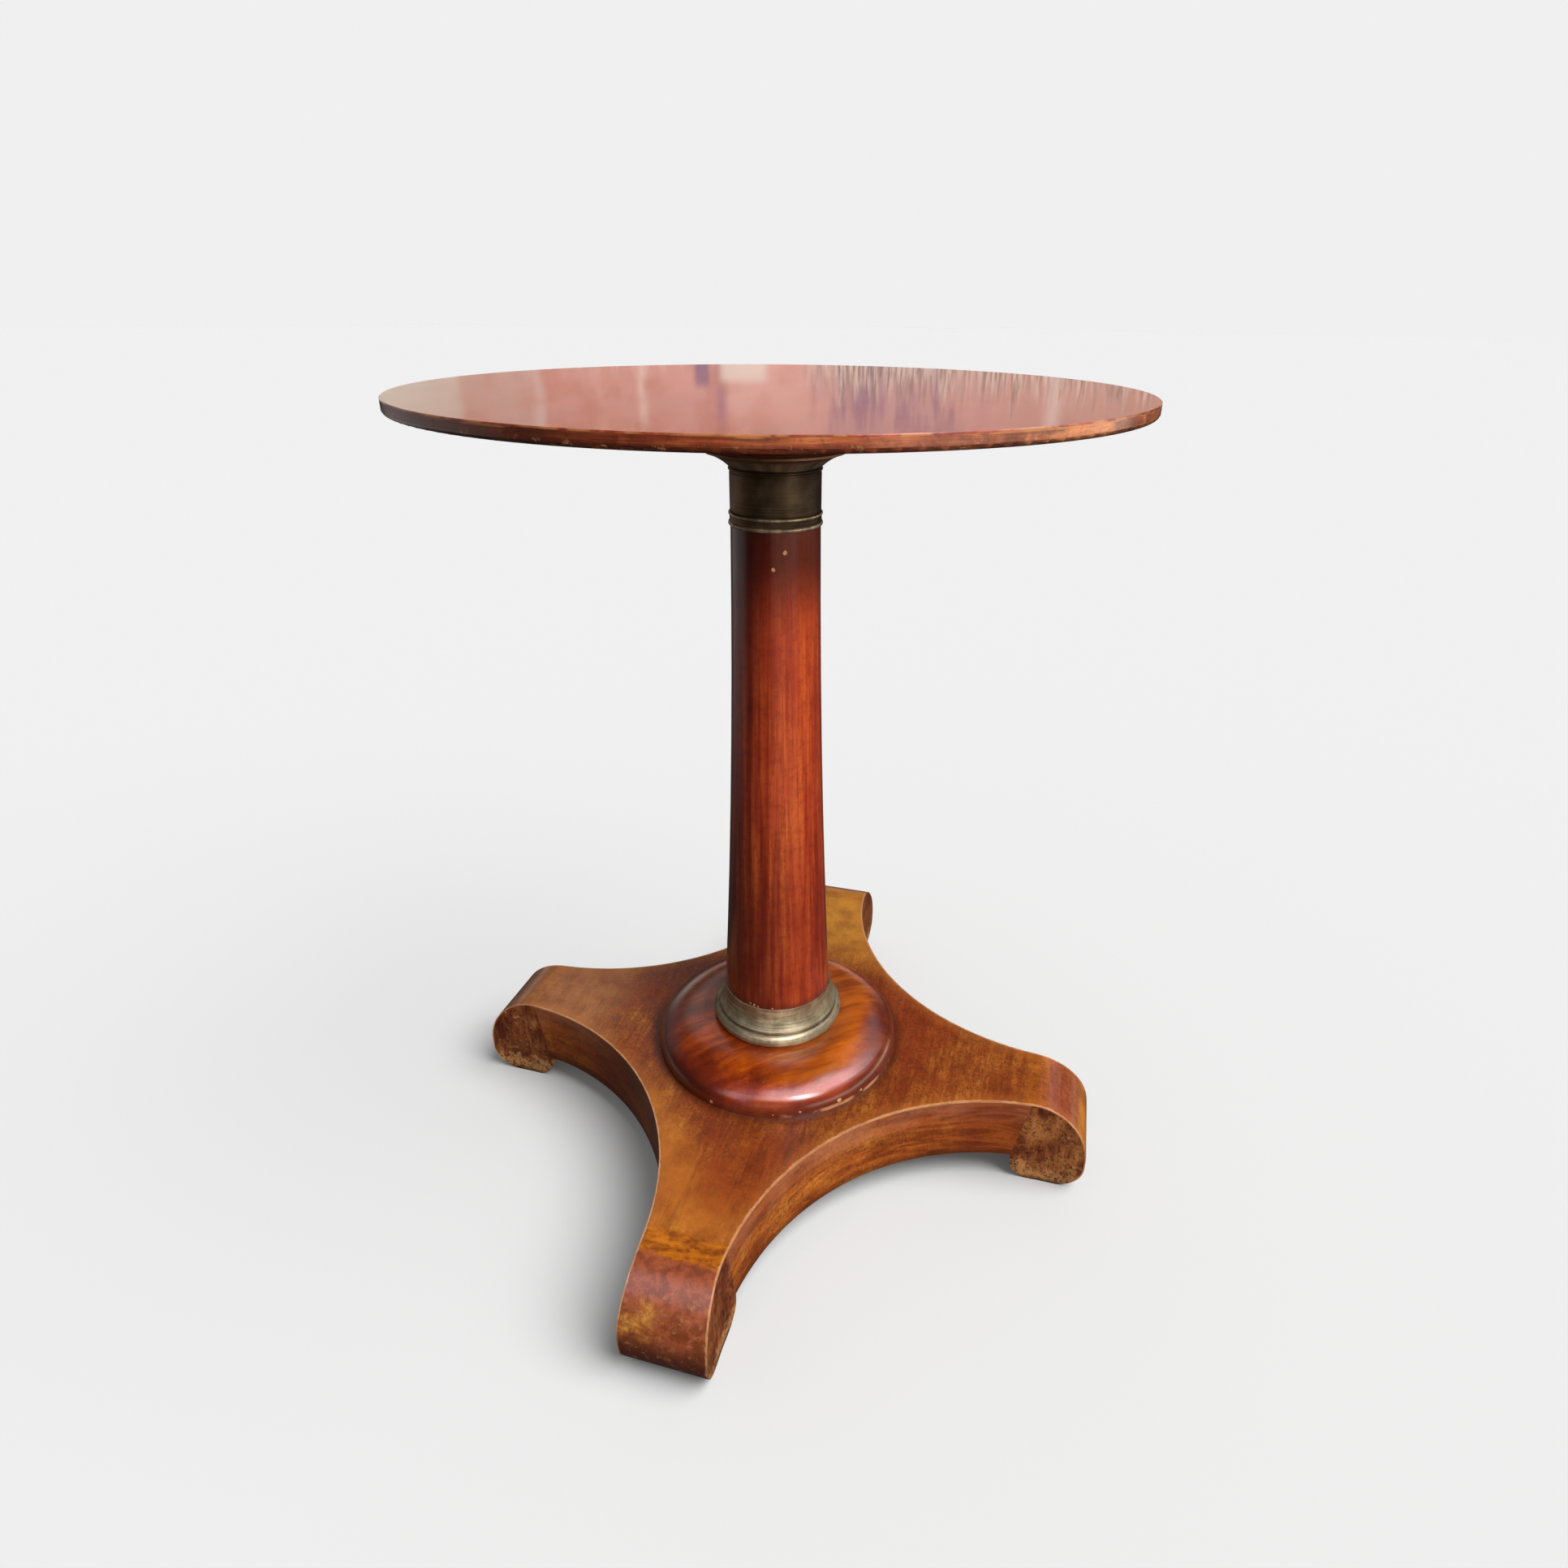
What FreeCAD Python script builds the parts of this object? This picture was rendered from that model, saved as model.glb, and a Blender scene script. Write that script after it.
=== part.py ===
import FreeCAD, Part
import math
import os
import Sketcher

# A round pedestal side table in mahogany, as a parametric document in millimetres.
# +Z is up. The origin is on the floor, on the axis of the column.
# The front foot points along -Y, the right foot along +X.

SIZES = {
    # Whole table
    "table_height": 714.0,
    "veneer_thickness": 1.2,
    "fit_clearance": 0.2,
    # Table top
    "top_diameter": 560.0,
    "top_thickness": 16.0,
    "edge_height": 9.5,
    "edge_rounding": 3.0,
    "veneer_edge_chamfer": 0.6,
    "under_bevel_width": 55.0,
    "lipping_width": 20.0,
    # Block under the top
    "block_diameter": 210.0,
    "block_thickness": 28.0,
    "block_edge_height": 14.0,
    "block_seat_diameter": 116.0,
    "block_edge_chamfer": 2.0,
    # Brass capital
    "capital_height": 59.0,
    "drum_radius": 36.6,
    "drum_wall": 2.4,
    "drum_bead_relief": 0.9,
    "drum_groove_depth": 0.9,
    "lower_lip_height": 3.6,
    "lower_lip_relief": 1.1,
    "lower_band_height": 4.6,
    "lower_band_relief": 0.4,
    "drum_bead_height": 2.8,
    "drum_groove_height": 1.6,
    "drum_height": 28.5,
    "flare_radius": 56.0,
    "flare_groove_height": 1.2,
    "flare_foot_relief": 1.4,
    "flare_height": 10.0,
    "flare_hollow": 1.2,
    "flare_lip_chamfer": 0.8,
    # Column
    "column_top_radius": 36.4,
    "column_foot_radius": 51.4,
    "column_hollow": 2.65,
    "top_tenon_radius": 22.0,
    "foot_tenon_radius": 26.0,
    "wedge_length_share": 0.9,
    "wedge_thickness": 3.6,
    "wedge_tip_thickness": 1.2,
    "wedge_depth": 22.0,
    # Brass ring at the foot of the column
    "ring_height": 37.5,
    "ring_bore_radius": 44.0,
    "ring_recess_radius": 49.5,
    "ring_recess_height": 27.0,
    "ring_foot_radius": 60.2,
    "ring_bead_height": 12.0,
    "ring_bead_bend_radius": 6.6,
    "ring_shoulder_radius": 58.6,
    "ring_groove_radius": 56.6,
    "ring_groove_height": 2.0,
    "ring_step_radius": 58.0,
    "ring_step_height": 1.6,
    "ring_hollow_radius": 26.0,
    "ring_neck_radius": 52.6,
    "ring_lip_height": 2.2,
    # Turned cushion under the column
    "torus_height": 30.0,
    "torus_foot_radius": 120.0,
    "torus_foot_height": 1.6,
    "torus_shoulder_round": 20.0,
    "torus_crown_round": 62.0,
    # Plinth with four arms
    "arm_reach": 314.0,
    "plinth_height": 93.5,
    "plinth_clearance": 28.0,
    "lower_board_thickness": 32.0,
    "arm_waist_inset": 36.75,
    "arm_waist_half_width": 34.75,
    # Scroll feet
    "nose_radius": 55.0,
    "toe_radius": 30.0,
    "heel_radius": 20.5,
    "foot_length": 69.0,
    "dowel_radius": 5.0,
    "dowel_length": 50.0,
    # Wood screws
    "screw_shank_radius": 2.4,
    "screw_head_radius": 4.6,
    "screw_head_height": 3.0,
    "screw_point_height": 6.0,
    "block_screw_length": 36.0,
    "block_screw_circle_radius": 78.0,
    "torus_screw_length": 60.0,
    "torus_screw_circle_radius": 74.0,
    "counterbore_radius": 6.5,
    "counterbore_depth": 20.0,
    # Overrun of every cutting tool past the wood that it cuts
    "cut_overrun": 10.0,
}

FOOT_NAMES = ("right", "back", "left", "front")
SIDE_NAMES = ("back_right", "back_left", "front_left", "front_right")
QUARTER_TURN = 90.0
FULL_TURN = 360.0
ARM_COUNT = 4
SCREW_COUNT = 4


class Length:
    """A length and the formula by which the document works it out from the sheet."""

    def __init__(self, value, formula):
        self.value = value
        self.formula = formula

    def __add__(self, other):
        other = as_length(other)
        return Length(self.value + other.value, f"({self.formula} + {other.formula})")

    def __sub__(self, other):
        other = as_length(other)
        return Length(self.value - other.value, f"({self.formula} - {other.formula})")

    def __mul__(self, other):
        other = as_length(other)
        return Length(self.value * other.value, f"({self.formula} * {other.formula})")

    def __truediv__(self, other):
        other = as_length(other)
        return Length(self.value / other.value, f"({self.formula} / {other.formula})")

    def __neg__(self):
        return Length(-self.value, f"(-1 * {self.formula})")


def as_length(number):
    """Wraps a plain number, such as a count or a share, so that it can join a formula."""
    if isinstance(number, Length):
        return number
    return Length(float(number), repr(number))


def root(square):
    """The side of a square of the given area."""
    return Length(math.sqrt(square.value), f"sqrt({square.formula})")


def arc_radius(rise, run, bulge):
    """The radius of an arc that leaves its own chord by the given bulge."""
    return (rise * rise + run * run) / (bulge * 8) + bulge / 2


document = FreeCAD.newDocument("side_table")
sheet = document.addObject("Spreadsheet::Sheet", "Sizes")
for row, (name, number) in enumerate(SIZES.items(), start=1):
    sheet.set(f"A{row}", name)
    sheet.set(f"B{row}", str(number))
    sheet.setAlias(f"B{row}", name)
document.recompute()


def size(name):
    """One size of the sheet."""
    return Length(SIZES[name], f"Sizes.{name}")


# Levels above the floor, from the feet to the top
veneer = size("veneer_thickness")
fit = size("fit_clearance")
overrun = size("cut_overrun")
plinth_under = size("plinth_clearance")
plinth_top = size("plinth_height")
board_seam = plinth_under + size("lower_board_thickness")
board_top = plinth_top - veneer
torus_top = plinth_top + size("torus_height")
column_foot = torus_top + size("ring_height")
table_top = size("table_height")
core_top = table_top - veneer
top_under = table_top - size("top_thickness")
block_under = top_under - size("block_thickness")
column_head = block_under - size("capital_height")

# Places on an arm, measured out from the column's axis
arm_tip = size("arm_reach")
nose_start = arm_tip - size("nose_radius")
heel = arm_tip - size("foot_length")
toe_start = arm_tip - size("toe_radius")

# The round hollow of each side, about a centre that lies as far out along two arms
side_centre = arm_tip - size("arm_waist_inset")
side_radius = side_centre - size("arm_waist_half_width")


def seam_place(level):
    """How far out the slanting seam between arm and foot lies at a level."""
    climb = (level - plinth_under) / (plinth_top - plinth_under)
    return heel + (nose_start - heel) * climb


parts = []


def new_body(label):
    """Starts a sub-part and lists it for writing out."""
    body = document.addObject("PartDesign::Body", label)
    body.Label = label
    parts.append(body)
    return body


def origin_feature(body, role):
    """The plane or axis of a body's own origin that plays the given role."""
    for feature in body.Origin.OriginFeatures:
        if feature.Role == role:
            return feature
    raise ValueError("no origin feature " + role)


def new_sketch(body, name, role, shift_x=None, shift_z=None):
    """A sketch on one of the body's origin planes, which may be shifted in or off the plane."""
    sketch = body.newObject("Sketcher::SketchObject", name)
    sketch.AttachmentSupport = [(origin_feature(body, role), "")]
    sketch.MapMode = "FlatFace"
    for axis_name, shift in (("x", shift_x), ("z", shift_z)):
        if shift is not None:
            sketch.setExpression(f".AttachmentOffset.Base.{axis_name}", shift.formula)
    return sketch


def pin_point(sketch, edge, end, place):
    """Ties a point of the sketch to a place that is worked out from the sheet."""
    for kind, axis, coordinate in (("DistanceX", -2, place[0]), ("DistanceY", -1, place[1])):
        coordinate = as_length(coordinate)
        if coordinate.value == 0:
            sketch.addConstraint(Sketcher.Constraint("PointOnObject", edge, end, axis))
            continue
        limit = Sketcher.Constraint(kind, -1, 1, edge, end, coordinate.value)
        index = sketch.addConstraint(limit)
        sketch.setExpression(f"Constraints[{index}]", coordinate.formula)


def arc_between(start, end, radius, bend):
    """An arc from start to end whose centre lies left of the way there, or right if bend is -1."""
    chord = end - start
    half = chord.Length / 2
    across = FreeCAD.Vector(-chord.y, chord.x, 0).normalize()
    centre = start + chord / 2 + across * (bend * math.sqrt(max(radius ** 2 - half ** 2, 0)))
    first, last = (start, end) if bend > 0 else (end, start)
    first_angle = math.atan2(first.y - centre.y, first.x - centre.x)
    last_angle = math.atan2(last.y - centre.y, last.x - centre.x)
    if last_angle < first_angle:
        last_angle += 2 * math.pi
    circle = Part.Circle(centre, FreeCAD.Vector(0, 0, 1), radius)
    return Part.ArcOfCircle(circle, first_angle, last_angle)


def draw_outline(sketch, places, arcs=None):
    """Closes an outline through the places.

    arcs gives, by the number of the place where it starts, each side that is round,
    as its radius and the hand on which its centre lies.
    """
    arcs = arcs or {}
    corners = [FreeCAD.Vector(as_length(across).value, as_length(up).value, 0) for across, up in places]
    count = len(corners)
    ends = []
    for number, start in enumerate(corners):
        end = corners[(number + 1) % count]
        if number in arcs:
            radius, bend = arcs[number]
            edge = sketch.addGeometry(arc_between(start, end, radius.value, bend), False)
            ends.append((edge, 1, 2) if bend > 0 else (edge, 2, 1))
        else:
            edge = sketch.addGeometry(Part.LineSegment(start, end), False)
            ends.append((edge, 1, 2))
    for number, (edge, start_end, last_end) in enumerate(ends):
        next_edge, next_start, _ = ends[(number + 1) % count]
        sketch.addConstraint(Sketcher.Constraint("Coincident", edge, last_end, next_edge, next_start))
        pin_point(sketch, edge, start_end, places[number])
        if number in arcs:
            radius = arcs[number][0]
            index = sketch.addConstraint(Sketcher.Constraint("Radius", edge, radius.value))
            sketch.setExpression(f"Constraints[{index}]", radius.formula)


def draw_circle(sketch, place, radius):
    """A full circle about a place."""
    centre = FreeCAD.Vector(as_length(place[0]).value, as_length(place[1]).value, 0)
    edge = sketch.addGeometry(Part.Circle(centre, FreeCAD.Vector(0, 0, 1), radius.value), False)
    pin_point(sketch, edge, 3, place)
    index = sketch.addConstraint(Sketcher.Constraint("Radius", edge, radius.value))
    sketch.setExpression(f"Constraints[{index}]", radius.formula)


def add_feature(body, kind, name, sketch):
    """Adds a feature that takes its form from a sketch."""
    feature = body.newObject(kind, name)
    feature.Profile = sketch
    sketch.Visibility = False
    return feature


def turn(body, name, places, arcs=None, shift_x=None):
    """Turns an outline of radius and level about the upright axis of its sketch."""
    sketch = new_sketch(body, name + "_outline", "XZ_Plane", shift_x=shift_x)
    draw_outline(sketch, places, arcs)
    feature = add_feature(body, "PartDesign::Revolution", name, sketch)
    feature.ReferenceAxis = (sketch, ["V_Axis"])
    feature.Angle = FULL_TURN
    document.recompute()
    return feature


def groove(body, name, places, shift_x=None):
    """Turns away what lies inside an outline of radius and level."""
    sketch = new_sketch(body, name + "_outline", "XZ_Plane", shift_x=shift_x)
    draw_outline(sketch, places)
    before = body.Shape.Volume
    feature = add_feature(body, "PartDesign::Groove", name, sketch)
    feature.ReferenceAxis = (sketch, ["V_Axis"])
    feature.Angle = FULL_TURN
    document.recompute()
    check_cut(body, before, name)
    return feature


def check_cut(body, before, name):
    """Stops the build if a cut has left its body as it was."""
    if body.Shape.Volume >= before:
        raise RuntimeError(f"{body.Label}: {name} cuts nothing")


def pad(body, name, sketch, thickness, both_ways=False):
    """Thickens a sketch, off its plane or evenly to both sides of it."""
    feature = add_feature(body, "PartDesign::Pad", name, sketch)
    feature.setExpression("Length", thickness.formula)
    feature.SideType = "Symmetric" if both_ways else "One side"
    document.recompute()
    return feature


def pocket(body, name, sketch, depth, both_ways=False, towards_normal=True):
    """Cuts a sketch into its body."""
    before = body.Shape.Volume
    feature = add_feature(body, "PartDesign::Pocket", name, sketch)
    feature.setExpression("Length", depth.formula)
    feature.SideType = "Symmetric" if both_ways else "One side"
    feature.Reversed = towards_normal
    document.recompute()
    check_cut(body, before, name)
    return feature


def repeat_round(body, name, feature, count):
    """Repeats a feature evenly round the upright axis of its body."""
    pattern = body.newObject("PartDesign::PolarPattern", name)
    pattern.Originals = [feature]
    pattern.Axis = (origin_feature(body, "Z_Axis"), [""])
    pattern.Angle = FULL_TURN
    pattern.Occurrences = count
    body.Tip = pattern
    document.recompute()
    return pattern


# Fasteners that several pieces share

def screw_outline(head_level, length):
    """Half the section of a wood screw with its head down."""
    shank = size("screw_shank_radius")
    neck_level = head_level + size("screw_head_height")
    tip_level = head_level + length
    shoulder_level = tip_level - size("screw_point_height")
    return [(0, head_level), (size("screw_head_radius"), head_level), (shank, neck_level),
            (shank, shoulder_level), (0, tip_level)]


def screw_hole_outline(head_level, length):
    """Half the section of a countersunk hole with a flat bottom, wider all round than its screw."""
    shank = size("screw_shank_radius") + fit
    head = size("screw_head_radius") + fit
    neck_level = head_level + size("screw_head_height")
    rim_level = head_level - fit
    bottom_level = head_level + length + fit
    return [(0, rim_level), (head, rim_level), (shank, neck_level), (shank, bottom_level),
            (0, bottom_level)]


def new_screws(label, head_level, length, circle_radius):
    """A ring of like wood screws, each a solid of its own."""
    body = new_body(label)
    body.AllowCompound = True
    outline = screw_outline(head_level, length)
    screw = turn(body, label + "_one", outline, shift_x=circle_radius)
    repeat_round(body, label + "_ring", screw, SCREW_COUNT)


def drill_for_screws(body, name, head_level, length, circle_radius):
    """Drills a body where a ring of wood screws passes through it."""
    outline = screw_hole_outline(head_level, length)
    hole = groove(body, name + "_one", outline, shift_x=circle_radius)
    repeat_round(body, name + "_ring", hole, SCREW_COUNT)


block_screw_head = block_under + (size("block_thickness") - size("block_edge_height")) / 2
block_screw_length = size("block_screw_length")
block_screw_circle = size("block_screw_circle_radius")
torus_screw_head = plinth_under + size("counterbore_depth")
torus_screw_length = size("torus_screw_length")
torus_screw_circle = size("torus_screw_circle_radius")


def drill_for_block_screws(body):
    drill_for_screws(body, "block_screw_hole", block_screw_head, block_screw_length, block_screw_circle)


def drill_for_torus_screws(body):
    drill_for_screws(body, "torus_screw_hole", torus_screw_head, torus_screw_length, torus_screw_circle)


def wedge_outline(end_level, direction):
    """The section of a tenon's wedge, thick at the tenon's end and thin inside it."""
    thick = size("wedge_thickness") / 2
    thin = size("wedge_tip_thickness") / 2
    tip_level = end_level - size("wedge_depth") * direction
    return [(-thick, end_level), (thick, end_level), (thin, tip_level), (-thin, tip_level)]


# Table top

def make_top_veneer():
    """The sheet of figured veneer that covers the whole top."""
    radius = size("top_diameter") / 2
    chamfer = size("veneer_edge_chamfer")
    body = new_body("top_veneer")
    places = [(0, core_top), (radius, core_top), (radius, table_top - chamfer),
              (radius - chamfer, table_top), (0, table_top)]
    turn(body, "veneer_disc", places)


def bevel_level(radius):
    """The level of the under side of the top at a radius on its bevel."""
    bevel_rise = size("top_thickness") - size("edge_height")
    bevel_start = size("top_diameter") / 2 - size("under_bevel_width")
    return top_under + bevel_rise * (radius - bevel_start) / size("under_bevel_width")


def make_top_core():
    """The round board of the top, thinned towards its edge from below."""
    lipping_start = size("top_diameter") / 2 - size("lipping_width")
    bevel_start = size("top_diameter") / 2 - size("under_bevel_width")
    body = new_body("top_core")
    places = [(0, top_under), (bevel_start, top_under), (lipping_start, bevel_level(lipping_start)),
              (lipping_start, core_top), (0, core_top)]
    turn(body, "core_disc", places)
    drill_for_block_screws(body)


def make_edge_lipping():
    """The bent ring of mahogany round the edge of the core, with a rounded lower edge."""
    outer = size("top_diameter") / 2
    inner = outer - size("lipping_width")
    rounding = size("edge_rounding")
    body = new_body("edge_lipping")
    rounding_start = outer - rounding
    places = [(inner, bevel_level(inner)), (rounding_start, bevel_level(rounding_start)),
              (outer, bevel_level(rounding_start) + rounding), (outer, core_top), (inner, core_top)]
    turn(body, "lipping_ring", places, {1: (rounding, 1)})


def make_top_block():
    """The turned block that takes the column's tenon and carries the top."""
    seat = size("block_seat_diameter") / 2
    outer = size("block_diameter") / 2
    chamfer = size("block_edge_chamfer")
    edge_foot = top_under - size("block_edge_height")
    bore = size("top_tenon_radius") + fit
    body = new_body("top_block")
    places = [(bore, block_under), (seat, block_under), (outer - chamfer, edge_foot - chamfer),
              (outer, edge_foot), (outer, top_under), (bore, top_under)]
    turn(body, "block_disc", places)
    drill_for_block_screws(body)
    sketch = new_sketch(body, "screw_recess_outline", "XY_Plane", shift_z=block_under - overrun)
    draw_circle(sketch, (block_screw_circle, 0), size("counterbore_radius"))
    depth = block_screw_head - block_under + overrun
    recess = pocket(body, "screw_recess", sketch, depth)
    repeat_round(body, "screw_recess_ring", recess, SCREW_COUNT)


# Column

def make_column():
    """The turned column, with a neck in the capital, a foot in the ring and a tenon at each end."""
    top_radius = size("column_top_radius")
    foot_radius = size("column_foot_radius")
    neck = size("drum_radius") - size("drum_wall") - fit
    spigot = size("ring_bore_radius") - fit
    top_tenon = size("top_tenon_radius")
    foot_tenon = size("foot_tenon_radius")
    side = arc_radius(column_head - column_foot, foot_radius - top_radius, size("column_hollow"))
    body = new_body("column")
    places = [(0, plinth_under), (foot_tenon, plinth_under), (foot_tenon, torus_top), (spigot, torus_top),
              (spigot, column_foot), (foot_radius, column_foot), (top_radius, column_head),
              (neck, column_head), (neck, block_under), (top_tenon, block_under),
              (top_tenon, top_under), (0, top_under)]
    turn(body, "column_turning", places, {5: (side, -1)})
    for name, end_level, direction, tenon in (("top_kerf", top_under, 1, top_tenon),
                                              ("foot_kerf", plinth_under, -1, foot_tenon)):
        sketch = new_sketch(body, name + "_outline", "XZ_Plane")
        draw_outline(sketch, wedge_outline(end_level, direction))
        pocket(body, name, sketch, tenon * 2 + overrun, both_ways=True)


def make_wedge(label, end_level, direction, tenon):
    """The wedge that spreads a tenon in its hole."""
    body = new_body(label)
    sketch = new_sketch(body, label + "_outline", "XZ_Plane")
    draw_outline(sketch, wedge_outline(end_level, direction))
    pad(body, label + "_blank", sketch, tenon * 2 * size("wedge_length_share"), both_ways=True)


# Brass mounts

def make_capital():
    """The brass capital: a sleeve with bands and beads that flares out under the block."""
    drum = size("drum_radius")
    bore = drum - size("drum_wall")
    band = drum + size("lower_band_relief")
    low = drum - size("drum_groove_depth")
    flare_foot = drum + size("flare_foot_relief")
    flare = size("flare_radius")
    lip_chamfer = size("flare_lip_chamfer")
    bead_height = size("drum_bead_height")
    groove_height = size("drum_groove_height")
    lip_top = column_head + size("lower_lip_height")
    band_top = lip_top + size("lower_band_height")
    bead_top = band_top + bead_height
    drum_foot = bead_top + groove_height
    drum_top = drum_foot + size("drum_height")
    upper_bead_foot = drum_top + groove_height
    upper_bead_top = upper_bead_foot + bead_height
    flare_start = upper_bead_top + size("flare_groove_height")
    flare_top = flare_start + size("flare_height")
    flare_bend = arc_radius(size("flare_height"), flare - flare_foot, size("flare_hollow"))
    bead_bend = arc_radius(bead_height, as_length(0), size("drum_bead_relief"))
    lip_bend = arc_radius(size("lower_lip_height"), as_length(0), size("lower_lip_relief"))
    body = new_body("capital")
    places = [(bore, column_head), (band, column_head), (band, lip_top), (band, band_top),
              (band, bead_top), (low, bead_top), (low, drum_foot), (drum, drum_foot),
              (drum, drum_top), (low, drum_top), (low, upper_bead_foot), (drum, upper_bead_foot),
              (drum, upper_bead_top), (low, upper_bead_top), (low, flare_start),
              (flare_foot, flare_start), (flare, flare_top),
              (flare, block_under - lip_chamfer), (flare - lip_chamfer, block_under),
              (bore, block_under)]
    arcs = {1: (lip_bend, 1), 3: (bead_bend, 1), 11: (bead_bend, 1), 15: (flare_bend, -1)}
    turn(body, "capital_casting", places, arcs)


def make_base_ring():
    """The brass ring at the foot of the column, hollowed out underneath as a casting is."""
    bore = size("ring_bore_radius")
    recess = size("ring_recess_radius")
    neck = size("ring_neck_radius")
    recess_top = torus_top + size("ring_recess_height")
    bead_top = torus_top + size("ring_bead_height")
    groove_top = bead_top + size("ring_groove_height")
    step_top = groove_top + size("ring_step_height")
    lip_foot = column_foot - size("ring_lip_height")
    body = new_body("base_ring")
    places = [(recess, torus_top), (size("ring_foot_radius"), torus_top),
              (size("ring_shoulder_radius"), bead_top), (size("ring_groove_radius"), bead_top),
              (size("ring_groove_radius"), groove_top), (size("ring_step_radius"), groove_top),
              (size("ring_step_radius"), step_top), (neck, lip_foot), (neck, column_foot),
              (bore, column_foot), (bore, recess_top), (recess, recess_top)]
    arcs = {1: (size("ring_bead_bend_radius"), 1), 6: (size("ring_hollow_radius"), -1)}
    turn(body, "ring_casting", places, arcs)


# Turned cushion

def make_torus_base():
    """The turned cushion of figured mahogany, whose flat crown runs over into a tight shoulder."""
    bore = size("foot_tenon_radius") + fit
    foot_radius = size("torus_foot_radius")
    foot_top = plinth_top + size("torus_foot_height")
    shoulder = size("torus_shoulder_round")
    crown = size("torus_crown_round")
    # The two rounds touch where the line through their centres leaves both
    between = crown - shoulder
    drop = crown - (torus_top - foot_top)
    run = root(between * between - drop * drop)
    crown_start = foot_radius - shoulder - run
    touch_radius = crown_start + run * crown / between
    touch_level = torus_top - crown + drop * crown / between
    body = new_body("torus_base")
    places = [(bore, plinth_top), (foot_radius, plinth_top), (foot_radius, foot_top),
              (touch_radius, touch_level), (crown_start, torus_top), (bore, torus_top)]
    turn(body, "torus_turning", places, {2: (shoulder, 1), 3: (crown, 1)})
    drill_for_torus_screws(body)


# Plinth

def draw_square(sketch, half_width):
    """A square about the column's axis."""
    draw_outline(sketch, [(-half_width, -half_width), (half_width, -half_width),
                          (half_width, half_width), (-half_width, half_width)])


def hollow_sides(body, radius):
    """Cuts the round hollow between one pair of arms, and repeats it for each pair."""
    sketch = new_sketch(body, "side_hollow_outline", "XY_Plane", shift_z=-overrun)
    draw_circle(sketch, (side_centre, side_centre), radius)
    cut = pocket(body, "side_hollow", sketch, plinth_top + overrun * 2)
    repeat_round(body, "side_hollow_ring", cut, ARM_COUNT)


def bore_for_tenon(body):
    """The hole for the tenon at the foot of the column."""
    sketch = new_sketch(body, "tenon_bore_outline", "XY_Plane", shift_z=-overrun)
    draw_circle(sketch, (0, 0), size("foot_tenon_radius") + fit)
    pocket(body, "tenon_bore", sketch, plinth_top + overrun * 2)


def dowel_levels():
    """The levels of the two dowels in each foot, each in the middle of a board."""
    return ((plinth_under + board_seam) / 2, (board_seam + board_top) / 2)


def dowel_start(level):
    """Where a dowel begins, so that it lies half in the arm and half in the foot."""
    return seam_place(level) - size("dowel_length") / 2


def bore_for_dowel(body, name, level, count):
    """A hole along the arm for a dowel, in one arm or in each."""
    sketch = new_sketch(body, name + "_outline", "YZ_Plane", shift_z=dowel_start(level) - fit)
    draw_circle(sketch, (0, level), size("dowel_radius") + fit)
    hole = pocket(body, name, sketch, size("dowel_length") + fit * 2)
    if count > 1:
        repeat_round(body, name + "_ring", hole, count)


def make_board(label, under, over, level):
    """One of the two boards of the plinth, with hollow sides and slanting arm ends."""
    body = new_body(label)
    sketches = []
    for name, height in (("under", under), ("over", over)):
        sketch = new_sketch(body, f"{label}_{name}_square", "XY_Plane", shift_z=height)
        draw_square(sketch, seam_place(height))
        sketches.append(sketch)
    blank = body.newObject("PartDesign::AdditiveLoft", label + "_blank")
    blank.Profile = sketches[0]
    blank.Sections = [sketches[1]]
    blank.Ruled = True
    document.recompute()
    hollow_sides(body, side_radius + veneer)
    bore_for_tenon(body)
    bore_for_dowel(body, "dowel_hole", level, ARM_COUNT)
    drill_for_torus_screws(body)
    return body


def make_lower_board():
    """The lower board, counterbored for the heads of the torus screws."""
    body = make_board("plinth_lower_board", plinth_under, board_seam, dowel_levels()[0])
    sketch = new_sketch(body, "counterbore_outline", "XY_Plane", shift_z=plinth_under - overrun)
    draw_circle(sketch, (torus_screw_circle, 0), size("counterbore_radius"))
    recess = pocket(body, "counterbore", sketch, size("counterbore_depth") + overrun)
    repeat_round(body, "counterbore_ring", recess, SCREW_COUNT)


def make_upper_board():
    """The upper board, which carries the veneer."""
    make_board("plinth_upper_board", board_seam, board_top, dowel_levels()[1])


def toe_corner(radius):
    """The point of the toe's round where the veneer ends, at the middle of its quarter turn."""
    reach = radius / root(as_length(2))
    return toe_start + reach, size("toe_radius") - reach


def make_foot(label, turns):
    """A scroll foot: a rolled nose and toe in front, a flat tread and a round heel behind."""
    nose = size("nose_radius") - veneer
    toe = size("toe_radius")
    heel_radius = size("heel_radius")
    body = new_body(label)
    sketch = new_sketch(body, "foot_profile", "XZ_Plane")
    places = [(heel, plinth_under), (heel, heel_radius), (heel + heel_radius, 0), (toe_start, 0),
              toe_corner(toe), toe_corner(toe - veneer), (arm_tip - veneer, toe),
              (arm_tip - veneer, plinth_top - size("nose_radius")), (nose_start, board_top),
              (seam_place(board_top), board_top)]
    arcs = {1: (heel_radius, 1), 3: (toe, 1), 5: (toe - veneer, 1), 7: (nose, 1)}
    draw_outline(sketch, places, arcs)
    pad(body, "foot_blank", sketch, side_centre * 2, both_ways=True)
    hollow_cheeks(body)
    for name, level in zip(("lower_dowel_hole", "upper_dowel_hole"), dowel_levels()):
        bore_for_dowel(body, name, level, 1)
    body.Placement = turned_placement(turns)


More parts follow.
